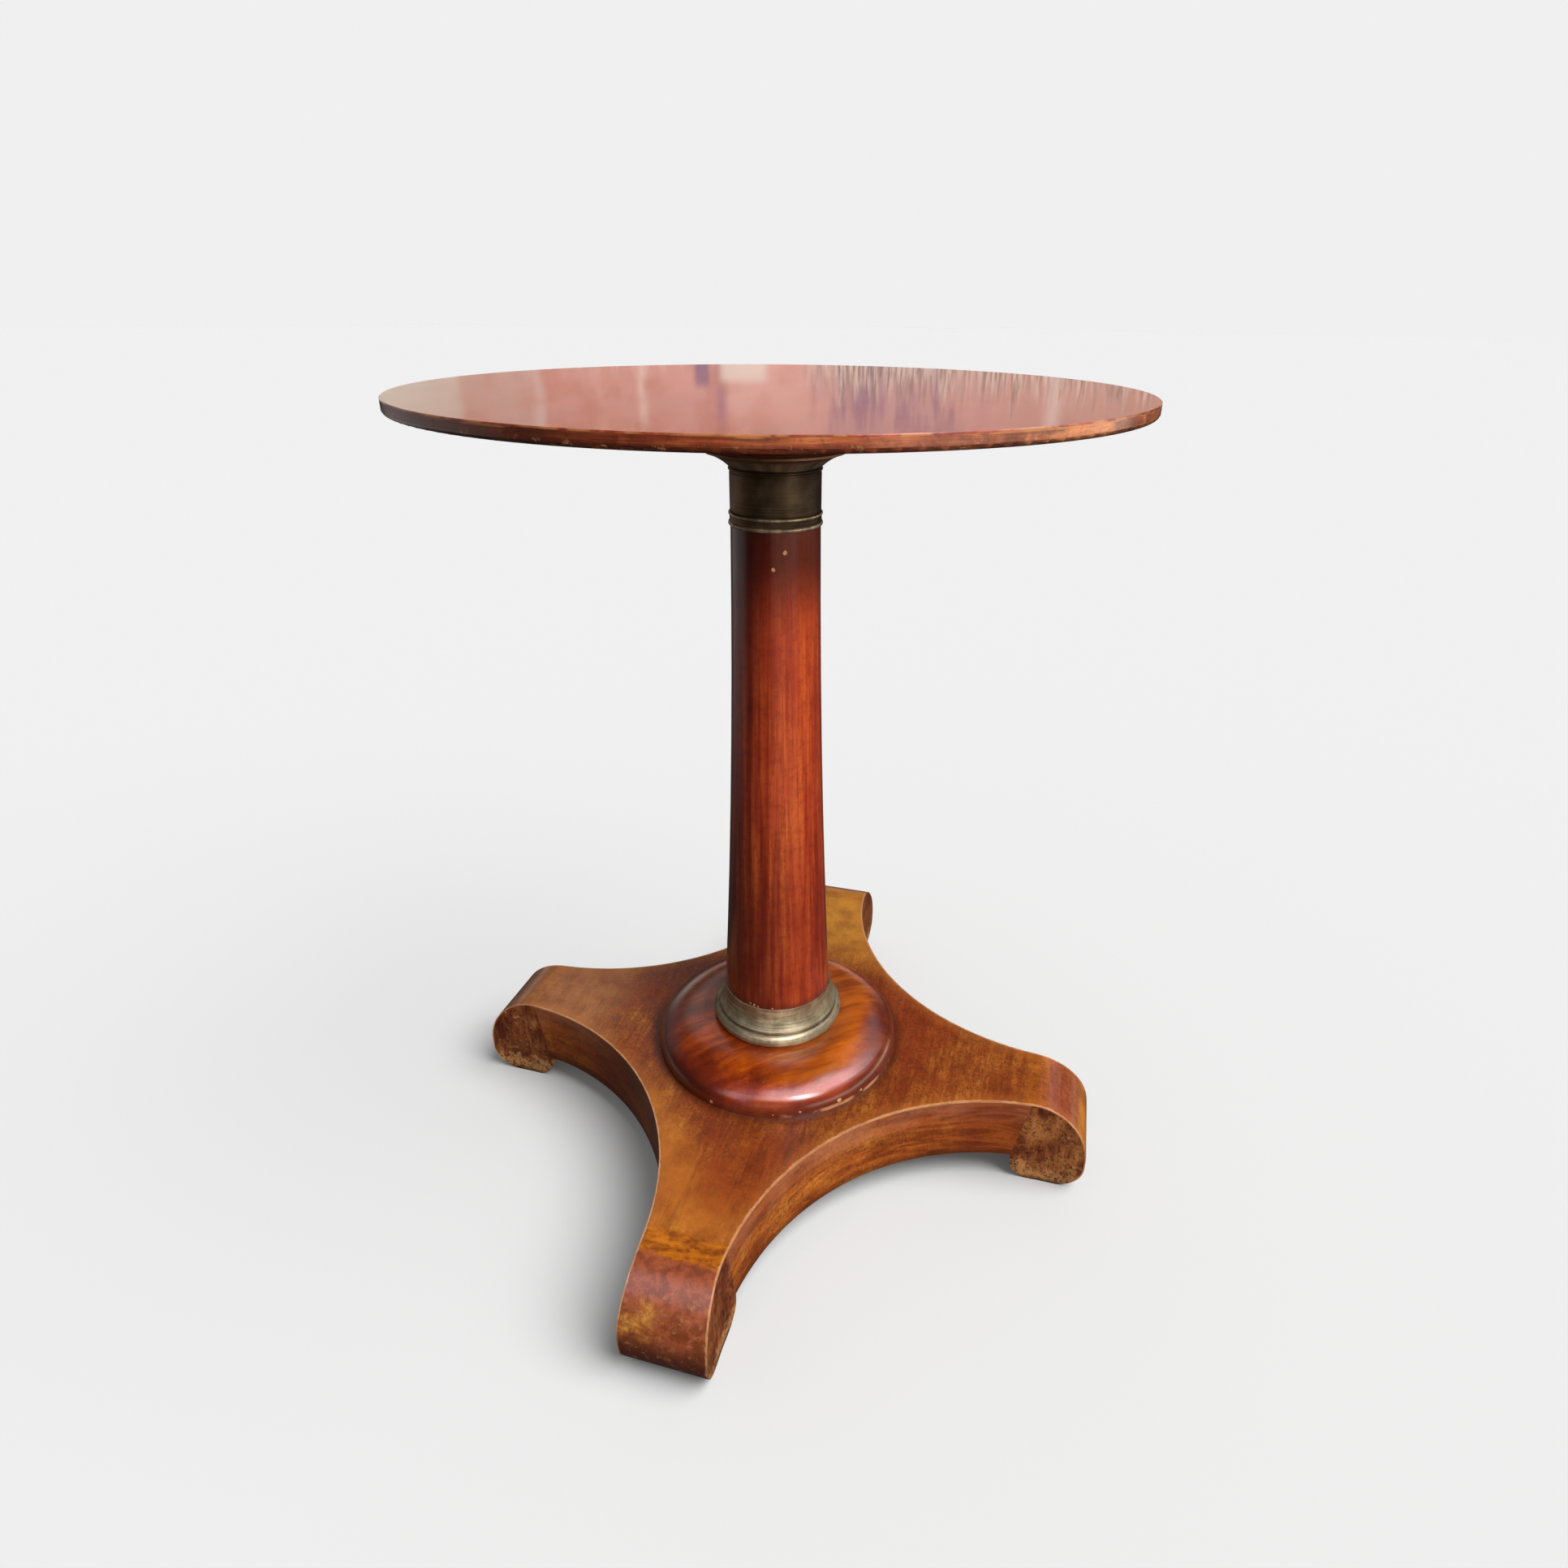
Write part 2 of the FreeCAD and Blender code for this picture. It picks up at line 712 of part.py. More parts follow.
def hollow_cheeks(body):
    """Cuts the two cheeks of a foot on the line of the hollow sides."""
    for name, across in (("left_cheek", side_centre), ("right_cheek", -side_centre)):
        sketch = new_sketch(body, name + "_outline", "XY_Plane", shift_z=-overrun)
        draw_circle(sketch, (side_centre, across), side_radius)
        pocket(body, name, sketch, plinth_top + overrun * 2)


def turned_placement(turns):
    """A place that is turned by quarter turns about the column's axis."""
    rotation = FreeCAD.Rotation(FreeCAD.Vector(0, 0, 1), QUARTER_TURN * turns)
    return FreeCAD.Placement(FreeCAD.Vector(0, 0, 0), rotation)


def veneer_strip():
    """The section of the plinth's veneer, from toe to toe over the noses of two feet."""
    nose = size("nose_radius")
    toe = size("toe_radius")
    nose_level = plinth_top - nose
    skin = arm_tip - veneer
    places = [(nose_start, plinth_top), (-nose_start, plinth_top)]
    outer_toe = toe_corner(toe)
    inner_toe = toe_corner(toe - veneer)
    places += [(-arm_tip, nose_level), (-arm_tip, toe), (-outer_toe[0], outer_toe[1]),
               (-inner_toe[0], inner_toe[1]), (-skin, toe), (-skin, nose_level),
               (-nose_start, board_top), (nose_start, board_top), (skin, nose_level), (skin, toe),
               inner_toe, outer_toe, (arm_tip, toe), (arm_tip, nose_level)]
    inner_nose = nose - veneer
    arcs = {1: (nose, 1), 3: (toe, 1), 5: (toe - veneer, -1), 7: (inner_nose, -1),
            9: (inner_nose, -1), 11: (toe - veneer, -1), 13: (toe, 1), 15: (nose, 1)}
    return places, arcs


def make_plinth_veneer():
    """The veneer of the plinth: one sheet over the boards that bends down round all four feet."""
    body = new_body("plinth_veneer")
    places, arcs = veneer_strip()
    for name, role in (("left_to_right", "XZ_Plane"), ("front_to_back", "YZ_Plane")):
        sketch = new_sketch(body, name + "_section", role)
        draw_outline(sketch, places, arcs)
        pad(body, name, sketch, nose_start * 2, both_ways=True)
    hollow_sides(body, side_radius)
    bore_for_tenon(body)
    drill_for_torus_screws(body)


def make_side_veneer(label, turns):
    """The veneer on one hollow side, from the seam of one foot to the seam of the next."""
    body = new_body(label)
    sketch = new_sketch(body, "side_sheet_outline", "XY_Plane", shift_z=plinth_under)
    draw_circle(sketch, (side_centre, side_centre), side_radius + veneer)
    draw_circle(sketch, (side_centre, side_centre), side_radius)
    pad(body, "side_sheet", sketch, board_top - plinth_under)
    far_side = side_centre + side_radius + overrun
    trim = [(seam_place(plinth_under - overrun), plinth_under - overrun),
            (far_side, plinth_under - overrun), (far_side, plinth_top + overrun),
            (seam_place(plinth_top + overrun), plinth_top + overrun)]
    for name, role in (("right_trim", "XZ_Plane"), ("back_trim", "YZ_Plane")):
        sketch = new_sketch(body, name + "_outline", role)
        draw_outline(sketch, trim)
        pocket(body, name, sketch, far_side * 2, both_ways=True)
    body.Placement = turned_placement(turns)


def make_foot_dowels():
    """Two dowels in each foot, each a solid of its own."""
    body = new_body("foot_dowels")
    body.AllowCompound = True
    originals = []
    for name, level in zip(("lower_dowel", "upper_dowel"), dowel_levels()):
        sketch = new_sketch(body, name + "_outline", "YZ_Plane", shift_z=dowel_start(level))
        draw_circle(sketch, (0, level), size("dowel_radius"))
        originals.append(pad(body, name, sketch, size("dowel_length")))
    pattern = repeat_round(body, "dowel_ring", originals[0], ARM_COUNT)
    pattern.Originals = originals
    document.recompute()


# The table, from the top down

make_top_veneer()
make_top_core()
make_edge_lipping()
make_top_block()
new_screws("block_screws", block_screw_head, block_screw_length, block_screw_circle)
make_column()
make_wedge("top_wedge", top_under, 1, size("top_tenon_radius"))
make_wedge("foot_wedge", plinth_under, -1, size("foot_tenon_radius"))
make_capital()
make_base_ring()
make_torus_base()
new_screws("torus_screws", torus_screw_head, torus_screw_length, torus_screw_circle)
make_plinth_veneer()
make_upper_board()
make_lower_board()
make_foot_dowels()
for turns, foot_name in enumerate(FOOT_NAMES):
    make_foot("foot_" + foot_name, turns)
for turns, side_name in enumerate(SIDE_NAMES):
    make_side_veneer("side_veneer_" + side_name, turns)


# Checks and files

document.recompute()
for item in document.Objects:
    if "Invalid" in item.State or "Error" in item.State:
        raise RuntimeError(f"{item.Label} has failed: {item.State}")
for body in parts:
    if body.Shape.isNull() or not body.Shape.isValid():
        raise RuntimeError(f"{body.Label} has no valid shape")
    print(body.Label, len(body.Shape.Solids), round(body.Shape.Volume))

os.makedirs("parts", exist_ok=True)
for body in parts:
    body.Shape.exportStep(f"parts/{body.Label}.step")
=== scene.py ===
import math
import bmesh
import bpy
from mathutils import Matrix, Vector


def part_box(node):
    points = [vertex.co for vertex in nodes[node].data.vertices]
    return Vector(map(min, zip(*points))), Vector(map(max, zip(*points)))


# A round mahogany side table with brass mounts: the finish of each piece, its light and its camera.
# Lengths are in metres. The front foot points along -Y and the right foot along +X.

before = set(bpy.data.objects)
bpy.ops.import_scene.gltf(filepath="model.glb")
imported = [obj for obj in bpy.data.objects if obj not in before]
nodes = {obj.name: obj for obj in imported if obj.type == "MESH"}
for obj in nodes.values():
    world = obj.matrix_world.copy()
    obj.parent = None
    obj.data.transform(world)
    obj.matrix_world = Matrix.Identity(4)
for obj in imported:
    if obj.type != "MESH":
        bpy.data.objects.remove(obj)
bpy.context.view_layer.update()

# Levels and radii that the finishes follow, read from the frame
TABLE_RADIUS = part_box("top_veneer")[1].x
RIM_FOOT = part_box("edge_lipping")[0].z
RIM_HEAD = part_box("edge_lipping")[1].z
CAPITAL_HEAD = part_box("capital")[1].z
COLUMN_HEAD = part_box("capital")[0].z
COLUMN_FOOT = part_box("base_ring")[1].z
RING_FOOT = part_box("base_ring")[0].z
CUSHION_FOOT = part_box("torus_base")[0].z
CUSHION_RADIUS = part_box("torus_base")[1].x
PLINTH_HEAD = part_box("plinth_veneer")[1].z
PLINTH_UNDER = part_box("plinth_lower_board")[0].z
ARM_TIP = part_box("plinth_veneer")[1].x

# Sizes that no box tells: the column's radius at its head, and the round hollow between two arms
COLUMN_TOP_RADIUS = 0.0364
HOLLOW_CENTRE = 0.27725
HOLLOW_RADIUS = 0.2425

# Where the plinth's sheet changes colour along an arm: a band before its bend, and the roll after it
BAND_START = ARM_TIP - 0.062
ROLL_START = ARM_TIP - 0.0405
BEND_SOFTNESS = 0.002

# The photograph's frame in pixels, and its camera: a 36 mm sensor, places in metres, turns in radians
PHOTO_WIDTH = 1932
FOCAL_PIXELS = 1200.4
CENTRE_PIXEL_X = 991.7
CENTRE_PIXEL_Y = 924.0
SENSOR_WIDTH = 36.0
CAMERA_REACH = 0.788
CAMERA_HEIGHT = 0.7765
CAMERA_AZIMUTH = 0.2926
CAMERA_PITCH = 0.4351
CAMERA_PAN = 0.032
CAMERA_ROLL = 0.0095


def paint(red, green, blue):
    """A colour from its values on the screen, 0 to 255, in the linear scale that the shaders use."""
    linear = []
    for value in (red, green, blue):
        share = value / 255
        linear.append(share / 12.92 if share <= 0.04045 else ((share + 0.055) / 1.055) ** 2.4)
    return (*linear, 1.0)


class Wiring:
    """The nodes of one material or sky, wired up a step at a time, and the colour so far."""

    def __init__(self, tree):
        self.tree = tree
        self.colour = None

    def add(self, kind, **settings):
        """Adds a node with its settings."""
        node = self.tree.nodes.new(kind)
        for name, value in settings.items():
            setattr(node, name, value)
        return node

    def feed(self, socket, value):
        """Links an output to a socket, or sets the socket to a plain value."""
        if isinstance(value, bpy.types.NodeSocket):
            self.tree.links.new(value, socket)
        else:
            socket.default_value = value

    def split(self, vector):
        """The three coordinates of a vector."""
        node = self.add("ShaderNodeSeparateXYZ")
        self.feed(node.inputs[0], vector)
        return node.outputs[0], node.outputs[1], node.outputs[2]

    def join(self, x, y, z):
        """A vector from its three coordinates."""
        node = self.add("ShaderNodeCombineXYZ")
        for socket, value in zip(node.inputs, (x, y, z)):
            self.feed(socket, value)
        return node.outputs[0]

    def calculate(self, operation, *values):
        """One step of arithmetic."""
        node = self.add("ShaderNodeMath", operation=operation)
        for socket, value in zip(node.inputs, values):
            self.feed(socket, value)
        return node.outputs[0]

    def product(self, first, *others):
        """The values multiplied."""
        for other in others:
            first = self.calculate("MULTIPLY", first, other)
        return first

    def total(self, first, *others):
        """The values added up."""
        for other in others:
            first = self.calculate("ADD", first, other)
        return first

    def less(self, first, second):
        """The first value less the second."""
        return self.calculate("SUBTRACT", first, second)

    def greatest(self, first, *others):
        """The greatest of the values."""
        for other in others:
            first = self.calculate("MAXIMUM", first, other)
        return first

    def size_of(self, value):
        """The value without its sign."""
        return self.calculate("ABSOLUTE", value)

    def swing(self, value, width):
        """Turns a value from 0 to 1 into a swing of this width about nought."""
        return self.product(self.less(value, 0.5), width)

    def fade(self, value, low, high, start=0.0, end=1.0):
        """Runs smoothly from start to end while the value goes from low to high."""
        node = self.add("ShaderNodeMapRange", interpolation_type="SMOOTHSTEP")
        for socket, entry in zip(node.inputs, (value, low, high, start, end)):
            self.feed(socket, entry)
        return node.outputs[0]

    def between(self, value, low, full, late, high):
        """Rises smoothly while the value goes from low to full, and falls again from late to high."""
        return self.product(self.fade(value, low, full), self.fade(value, high, late))

    def noise(self, vector, scale=1.0, detail=3.0, roughness=0.5, distortion=0.0):
        """Soft noise from 0 to 1, whose lumps come about scale times per metre."""
        node = self.add("ShaderNodeTexNoise")
        values = {"Vector": vector, "Scale": scale, "Detail": detail, "Roughness": roughness,
                  "Distortion": distortion}
        for name, value in values.items():
            self.feed(node.inputs[name], value)
        return node.outputs["Fac"]

    def drawn_noise(self, *ways, detail=3.0, roughness=0.5, distortion=0.0):
        """Noise drawn out along some ways: each is a coordinate and its own scale, or a fixed place."""
        places = [self.product(*way) if isinstance(way, tuple) else way for way in ways]
        return self.noise(self.join(*places), 1.0, detail, roughness, distortion)

    def mix(self, share, first, second, mode="MIX"):
        """A share of the second colour in the first."""
        node = self.add("ShaderNodeMix", data_type="RGBA", blend_type=mode)
        self.feed(node.inputs[0], share)
        self.feed(node.inputs[6], first)
        self.feed(node.inputs[7], second)
        return node.outputs[2]

    def dye(self, value, *stops):
        """Starts the colour off from a value: each stop is a place and a colour on the screen."""
        node = self.add("ShaderNodeValToRGB")
        ramp = node.color_ramp
        while len(ramp.elements) < len(stops):
            ramp.elements.new(1.0)
        for element, (place, *screen_colour) in zip(ramp.elements, stops):
            element.position = place
            element.color = paint(*screen_colour)
        self.feed(node.inputs[0], value)
        self.colour = node.outputs[0]

    def stain(self, colour, *shares):
        """Lays a colour over the colour so far, by the product of the shares."""
        self.colour = self.mix(self.product(*shares), self.colour, colour)


class Finish(Wiring):
    """A material, with the places on the object that its patterns follow."""

    def __init__(self, name):
        self.material = bpy.data.materials.new(name)
        self.material.use_nodes = True
        super().__init__(self.material.node_tree)
        self.shader = self.tree.nodes["Principled BSDF"]
        self.place = self.add("ShaderNodeTexCoord").outputs["Object"]
        self.x, self.y, self.z = self.split(self.place)
        self.bumps = None

    def set(self, **sockets):
        """Sets the shader's own sockets, whose names are given with _ for a space."""
        for name, value in sockets.items():
            self.feed(self.shader.inputs[name.replace("_", " ")], value)

    def relief(self, height, depth):
        """Raises the surface by the height, times the depth in metres."""
        node = self.add("ShaderNodeBump")
        node.inputs["Distance"].default_value = depth
        self.feed(node.inputs["Height"], height)
        if self.bumps is not None:
            self.feed(node.inputs["Normal"], self.bumps)
        self.bumps = node.outputs[0]
        self.feed(self.shader.inputs["Normal"], self.bumps)

    def apply(self, *names):
        """Gives the finish, in the colour so far, to pieces of the frame."""
        self.set(Base_Color=self.colour)
        for name in names:
            nodes[name].data.materials.clear()
            nodes[name].data.materials.append(self.material)

    def distance(self, first, second):
        """The distance of a place that lies so far off in two directions."""
        squares = self.total(self.product(first, first), self.product(second, second))
        return self.calculate("SQRT", squares)

    def distance_out(self):
        """How far a place lies from the column's axis."""
        return self.distance(self.x, self.y)

    def bearing(self):
        """The angle of a place about the column's axis."""
        return self.calculate("ARCTAN2", self.y, self.x)

    def from_hollow_centre(self):
        """How far a place lies from the centre of the nearest hollow side, across and along."""
        return (self.less(self.size_of(self.x), HOLLOW_CENTRE),
                self.less(self.size_of(self.y), HOLLOW_CENTRE))

    def hollow_distance(self):
        """How far a place of the plinth lies inside the edge of the nearest hollow side."""
        return self.less(self.distance(*self.from_hollow_centre()), HOLLOW_RADIUS)

    def hollow_bearing(self):
        """The angle of a place about the centre of the nearest hollow side."""
        across, along = self.from_hollow_centre()
        return self.calculate("ARCTAN2", along, across)

    def patches(self, scale, low, high, detail=4.0, roughness=0.7, least=0.0, share=1.0):
        """Ragged patches, from the least to the full share while the noise goes from low to high."""
        return self.fade(self.noise(self.place, scale, detail, roughness), low, high, least, share)

    def spot(self, x, y, z, radius, ragged=0.6):
        """A ragged patch about a place, such as a chip or a dent."""
        offset = self.add("ShaderNodeVectorMath", operation="DISTANCE")
        self.feed(offset.inputs[0], self.place)
        offset.inputs[1].default_value = (x, y, z)
        wander = self.swing(self.noise(self.place, 1.4 / radius, 2.0), ragged * 2 * radius)
        return self.fade(self.total(offset.outputs["Value"], wander), radius, radius * 0.7)

    def spots(self, *places):
        """Several ragged patches, each with its place, its radius and perhaps how ragged it is."""
        return self.greatest(*[self.spot(*place) for place in places])


# Woods

BARE_WOOD = paint(205, 150, 106)
WORN_WOOD = paint(178, 124, 78)
GRIME = paint(36, 18, 11)


class Wood(Finish):
    """A wood, with a grain that runs along the first of three given coordinates, in metres."""

    def grain(self, along, across, through, width, length, wave):
        """Sets up the streaks, the fibres and the pores of the grain, and the blotches of age."""

        def drawn(lengthwise, crosswise, detail, roughness=0.5, distortion=0.0):
            """Noise with one scale along the grain and another across it."""
            ways = ((along, lengthwise), (across, crosswise), (through, crosswise))
            return self.drawn_noise(*ways, detail=detail, roughness=roughness, distortion=distortion)

        self.streaks = drawn(1 / length, 1 / width, 4.0, 0.55, wave)
        self.figure = drawn(0.45 / length, 0.18 / width, 3.0, 0.5, wave)
        self.fibres = drawn(30, 1100, 2.0)
        self.pores = self.fade(drawn(70, 1500, 1.0), 0.62, 0.72)
        self.mottle = self.noise(self.place, 32.0, 4.0, 0.6)
        self.cloud = self.noise(self.place, 9.0)
        self.speckle = self.noise(self.place, 420.0, 2.0)

    def tone(self, streak_share, mottle_share, spread=0.2):
        """One value from 0, dark, to 1, light, from all that makes the grain."""
        streaks = self.product(self.streaks, streak_share)
        mottle = self.product(self.mottle, mottle_share)
        figure = self.product(self.figure, 1 - streak_share - mottle_share)
        return self.fade(self.total(streaks, mottle, figure), 0.5 - spread, 0.5 + spread)

    def darken_pores(self, share):
        """Draws the open pores into the colour, and lets the fibres shimmer."""
        shimmer = self.fade(self.fibres, 0.3, 0.7, 0.84, 1.1)
        self.colour = self.mix(1.0, self.colour, self.join(shimmer, shimmer, shimmer), "MULTIPLY")
        self.stain(GRIME, self.pores, share)

    def streaked(self, coordinate, width):
        """A coordinate that the streaks push on, so that a shade along it ends in streaks."""
        return self.total(coordinate, self.product(self.streaks, width))

    def edge_wander(self, width):
        """A fine swing of this width, which makes a worn edge ragged."""
        return self.swing(self.noise(self.place, 160.0, 5.0, 0.7), width)

    def mottled_roughness(self, smooth, rough):
        """Sets a roughness that varies with the mottle."""
        self.set(Roughness=self.fade(self.mottle, 0.3, 0.7, smooth, rough))


def make_top_finish():
    """Figured veneer under a high French polish, rubbed along its outer edge."""
    wood = Wood("top_mahogany")
    wood.grain(wood.y, wood.x, wood.z, width=0.010, length=0.20, wave=1.1)
    wood.dye(wood.tone(0.45, 0.2), (0.0, 90, 30, 18), (0.35, 126, 50, 30),
             (0.65, 146, 66, 40), (1.0, 172, 90, 54))
    wood.darken_pores(0.35)
    outer_edge = wood.fade(wood.distance_out(), TABLE_RADIUS - 0.0016, TABLE_RADIUS - 0.0004)
    wood.stain(WORN_WOOD, outer_edge, wood.patches(60, 0.45, 0.6, roughness=0.5), 0.6)
    wood.mottled_roughness(0.30, 0.42)
    wood.set(Specular_IOR_Level=0.3, Coat_Weight=1.0, Coat_Roughness=0.032, Coat_IOR=1.5)
    wood.relief(wood.noise(wood.place, 14.0, 2.0), 0.0002)
    wood.apply("top_veneer")


def age_and_shade_rim(wood):
    """The rim bleached on its right, with painted shade and a painted grey sheen over its left, and
    blotted all round. Returns the blots.
    """
    bleached = wood.fade(wood.x, 0.09, 0.20, 0.0, 0.4)
    wood.stain(paint(206, 140, 92), bleached, wood.fade(wood.mottle, 0.4, 0.6, 0.2, 1.0))
    wood.darken_pores(0.5)
    # Painted grey sheen over the dark left side.
    dull = wood.fade(wood.x, -0.04, -0.18)
    wood.stain(paint(98, 68, 44), dull, 0.8)
    # Painted shade, deepest at the far left.
    painted_far_left_shade = wood.fade(wood.x, -0.19, -0.26)
    wood.stain(paint(64, 44, 18), painted_far_left_shade, 0.4)
    blots = wood.patches(110, 0.50, 0.62, detail=5.0, share=0.5)
    wood.stain(paint(66, 30, 18), blots)
    # Painted shade over the left half.
    painted_left_shade = wood.fade(wood.x, 0.045, -0.04)
    wood.stain(paint(58, 24, 16), painted_left_shade, 0.45)
    return blots


def wear_rim(wood):
    """The rim's worn lower edge, rubbed upper edge and unpolished under side. Returns the worn share."""
    low = wood.fade(wood.z, RIM_FOOT + 0.0080, RIM_FOOT + 0.0040)
    worn = wood.product(low, wood.patches(90, 0.57, 0.64, detail=5.0))
    high = wood.fade(wood.z, RIM_HEAD - 0.0014, RIM_HEAD - 0.0004)
    rubbed = wood.product(high, wood.patches(24, 0.48, 0.58, detail=3.0, roughness=0.5))
    under = wood.fade(wood.distance_out(), TABLE_RADIUS - 0.0040, TABLE_RADIUS - 0.0065)
    lip = wood.fade(wood.z, RIM_HEAD - 0.0045, RIM_HEAD - 0.0015)
    on_right = wood.fade(wood.x, 0.02, 0.10, 0.4, 1.0)
    wood.stain(paint(80, 38, 22), lip, wood.patches(30, 0.50, 0.62, roughness=0.6), on_right, 0.7)
    wood.stain(GRIME, low, wood.fade(wood.x, 0.04, 0.16, 0.55, 0.2))
    wood.stain(WORN_WOOD, worn, 0.6)
    wood.stain(WORN_WOOD, rubbed, 0.55)
    wood.stain(paint(90, 56, 36), under, 0.7)
    unpolished = wood.greatest(worn, rubbed, under)
    wood.set(Roughness=wood.fade(unpolished, 0.0, 1.0, 0.3, 0.7), Specular_IOR_Level=0.4)
    wood.set(Coat_Weight=wood.fade(under, 0.0, 1.0, 0.9, 0.0), Coat_Roughness=0.12)
    return worn


def make_edge_finish():
    """The rim, bent with the grain round the table."""
    wood = Wood("edge_mahogany")
    run = wood.product(wood.bearing(), TABLE_RADIUS)
    drift = wood.product(wood.noise(wood.place, 12.0, 2.0), 0.004)
    wood.grain(run, wood.total(wood.z, drift), wood.distance_out(), width=0.0035, length=0.07, wave=0.8)
    wood.dye(wood.tone(0.4, 0.4), (0.0, 80, 31, 20), (0.4, 124, 52, 29),
             (0.7, 152, 76, 42), (1.0, 184, 108, 64))
    blots = age_and_shade_rim(wood)
    worn = wear_rim(wood)
    wood.relief(wood.mottle, 0.0006)
    wood.relief(blots, -0.0001)
    wood.relief(wood.pores, -0.00004)
    wood.relief(worn, -0.0003)
    wood.apply("edge_lipping")


# Each chip in a finish: its place, its radius and, for some, how ragged it is
COLUMN_CHIPS = ((0.0176, -0.0328, 0.5958, 0.0022, 0.3), (0.0090, -0.0363, 0.5826, 0.0021, 0.3),
                (-0.0120, -0.0500, 0.1640, 0.0012), (-0.0080, -0.0507, 0.1630, 0.0016),
                (-0.0040, -0.0510, 0.1624, 0.0011), (0.0100, -0.0503, 0.1626, 0.0010))


def age_and_shade_column(wood):
    """The column's red blush and crackle, and painted shade: darker on its left, down its lower part and
    at its foot, with the top's shadow painted under the capital, deepest on the left.
    """
    blush = wood.greatest(wood.fade(wood.cloud, 0.42, 0.6, 0.0, 0.35),
                          wood.fade(wood.x, 0.006, 0.030, 0.0, 0.3))
    wood.stain(paint(150, 50, 32), blush)
    crackle = wood.patches(150, 0.48, 0.62, roughness=0.75)
    wood.stain(paint(96, 28, 18), crackle, 0.3)
    # Painted shade: the left side darker.
    left = wood.fade(wood.streaked(wood.x, 0.020), 0.004, -0.026)
    wood.stain(paint(84, 18, 16), left, 0.12)
    # Painted shade: the lower part darker, more on the left.
    lower = wood.fade(wood.streaked(wood.z, 0.12), COLUMN_FOOT + 0.30, COLUMN_FOOT + 0.13, 0.0, 0.6)
    wood.stain(paint(64, 14, 14), lower, wood.fade(wood.x, 0.0, 0.03, 1.0, 0.45))
    # Painted shadow of the top, just under the capital.
    painted_top_shadow = wood.fade(wood.streaked(wood.z, 0.06), COLUMN_HEAD - 0.055, COLUMN_HEAD + 0.010)
    wood.stain(paint(44, 8, 6), painted_top_shadow, 0.75)
    # Painted shade on the upper left, under the top.
    upper = wood.fade(wood.z, COLUMN_HEAD - 0.191, COLUMN_HEAD - 0.051)
    wood.stain(paint(58, 10, 12), upper, wood.fade(wood.x, 0.014, -0.012), 0.42)
    # Painted shade at the foot, just above the ring.
    painted_foot_shade = wood.fade(wood.z, COLUMN_FOOT + 0.010, COLUMN_FOOT)
    wood.stain(paint(40, 10, 8), painted_foot_shade, 0.5)


def make_column_finish():
    """Straight grain up the column, deep red under its polish, with a few chips."""
    wood = Wood("column_mahogany")
    wood.grain(wood.z, wood.x, wood.y, width=0.0052, length=0.34, wave=0.25)
    wood.dye(wood.tone(0.55, 0.15, 0.22), (0.0, 96, 26, 14), (0.3, 142, 47, 23),
             (0.62, 176, 73, 33), (1.0, 206, 104, 46))
    wood.darken_pores(0.25)
    age_and_shade_column(wood)
    chips = wood.spots(*COLUMN_CHIPS)
    wood.stain(BARE_WOOD, chips, 0.85)
    wood.mottled_roughness(0.28, 0.4)
    wood.set(Specular_IOR_Level=0.25, Coat_Weight=0.9, Coat_Roughness=0.14)
    wood.relief(wood.streaks, 0.0001)
    wood.relief(wood.pores, -0.00003)
    wood.relief(chips, -0.0004)
    wood.apply("column")


CUSHION_GRAIN = math.radians(40)
CUSHION_CHIPS = ((-0.0295, -0.1155, 0.0975, 0.0020), (0.0530, -0.1060, 0.0985, 0.0018),
                 (0.0850, -0.0842, 0.0995, 0.0024), (0.0300, -0.1152, 0.0970, 0.0012),
                 (0.1010, -0.0640, 0.0980, 0.0014))


def paint_cushion_light_and_shade(wood):
    """The cushion's painted shade on its left side, its crown lit by a painted orange glow, and its ruddy
    flank.
    """
    crown = wood.fade(wood.z, CUSHION_FOOT + 0.020, CUSHION_FOOT + 0.027)
    # Painted shade over the left side, lighter on the crown.
    left = wood.fade(wood.less(wood.x, wood.product(wood.y, 0.35)), -0.042, -0.100, 0.0, 0.95)
    wood.stain(paint(46, 14, 8), left, wood.fade(wood.streaks, 0.3, 0.6, 1.0, 0.85),
               wood.fade(crown, 0.0, 1.0, 1.0, 0.58))
    # Painted light: an orange glow on the crown's front and right.
    glow = wood.between(wood.x, 0.00, 0.05, 0.082, 0.098)
    wood.stain(paint(222, 122, 30), glow, crown, wood.fade(wood.streaks, 0.3, 0.6, 0.3, 1.0), 0.45)
    flank = wood.fade(crown, 0.0, 1.0, 0.42, 0.0)
    wood.stain(paint(128, 36, 18), flank)


def paint_cushion_foot_shade(wood):
    """Painted shade at the cushion's foot, deeper on the left, and darker down its right side."""
    # Painted shade at the foot, where the cushion meets the plinth, deeper on the left.
    foot = wood.fade(wood.z, CUSHION_FOOT + 0.019, CUSHION_FOOT + 0.003, 0.0, 0.75)
    left_foot = wood.product(wood.fade(wood.z, CUSHION_FOOT + 0.026, CUSHION_FOOT + 0.010),
                             wood.fade(wood.x, 0.0, -0.045), 0.95)
    wood.stain(paint(62, 18, 8), wood.greatest(foot, left_foot))
    right = wood.fade(wood.x, 0.080, 0.104, 0.0, 0.85)
    wood.stain(paint(74, 27, 18), right, wood.fade(wood.streaks, 0.3, 0.6, 1.0, 0.8))


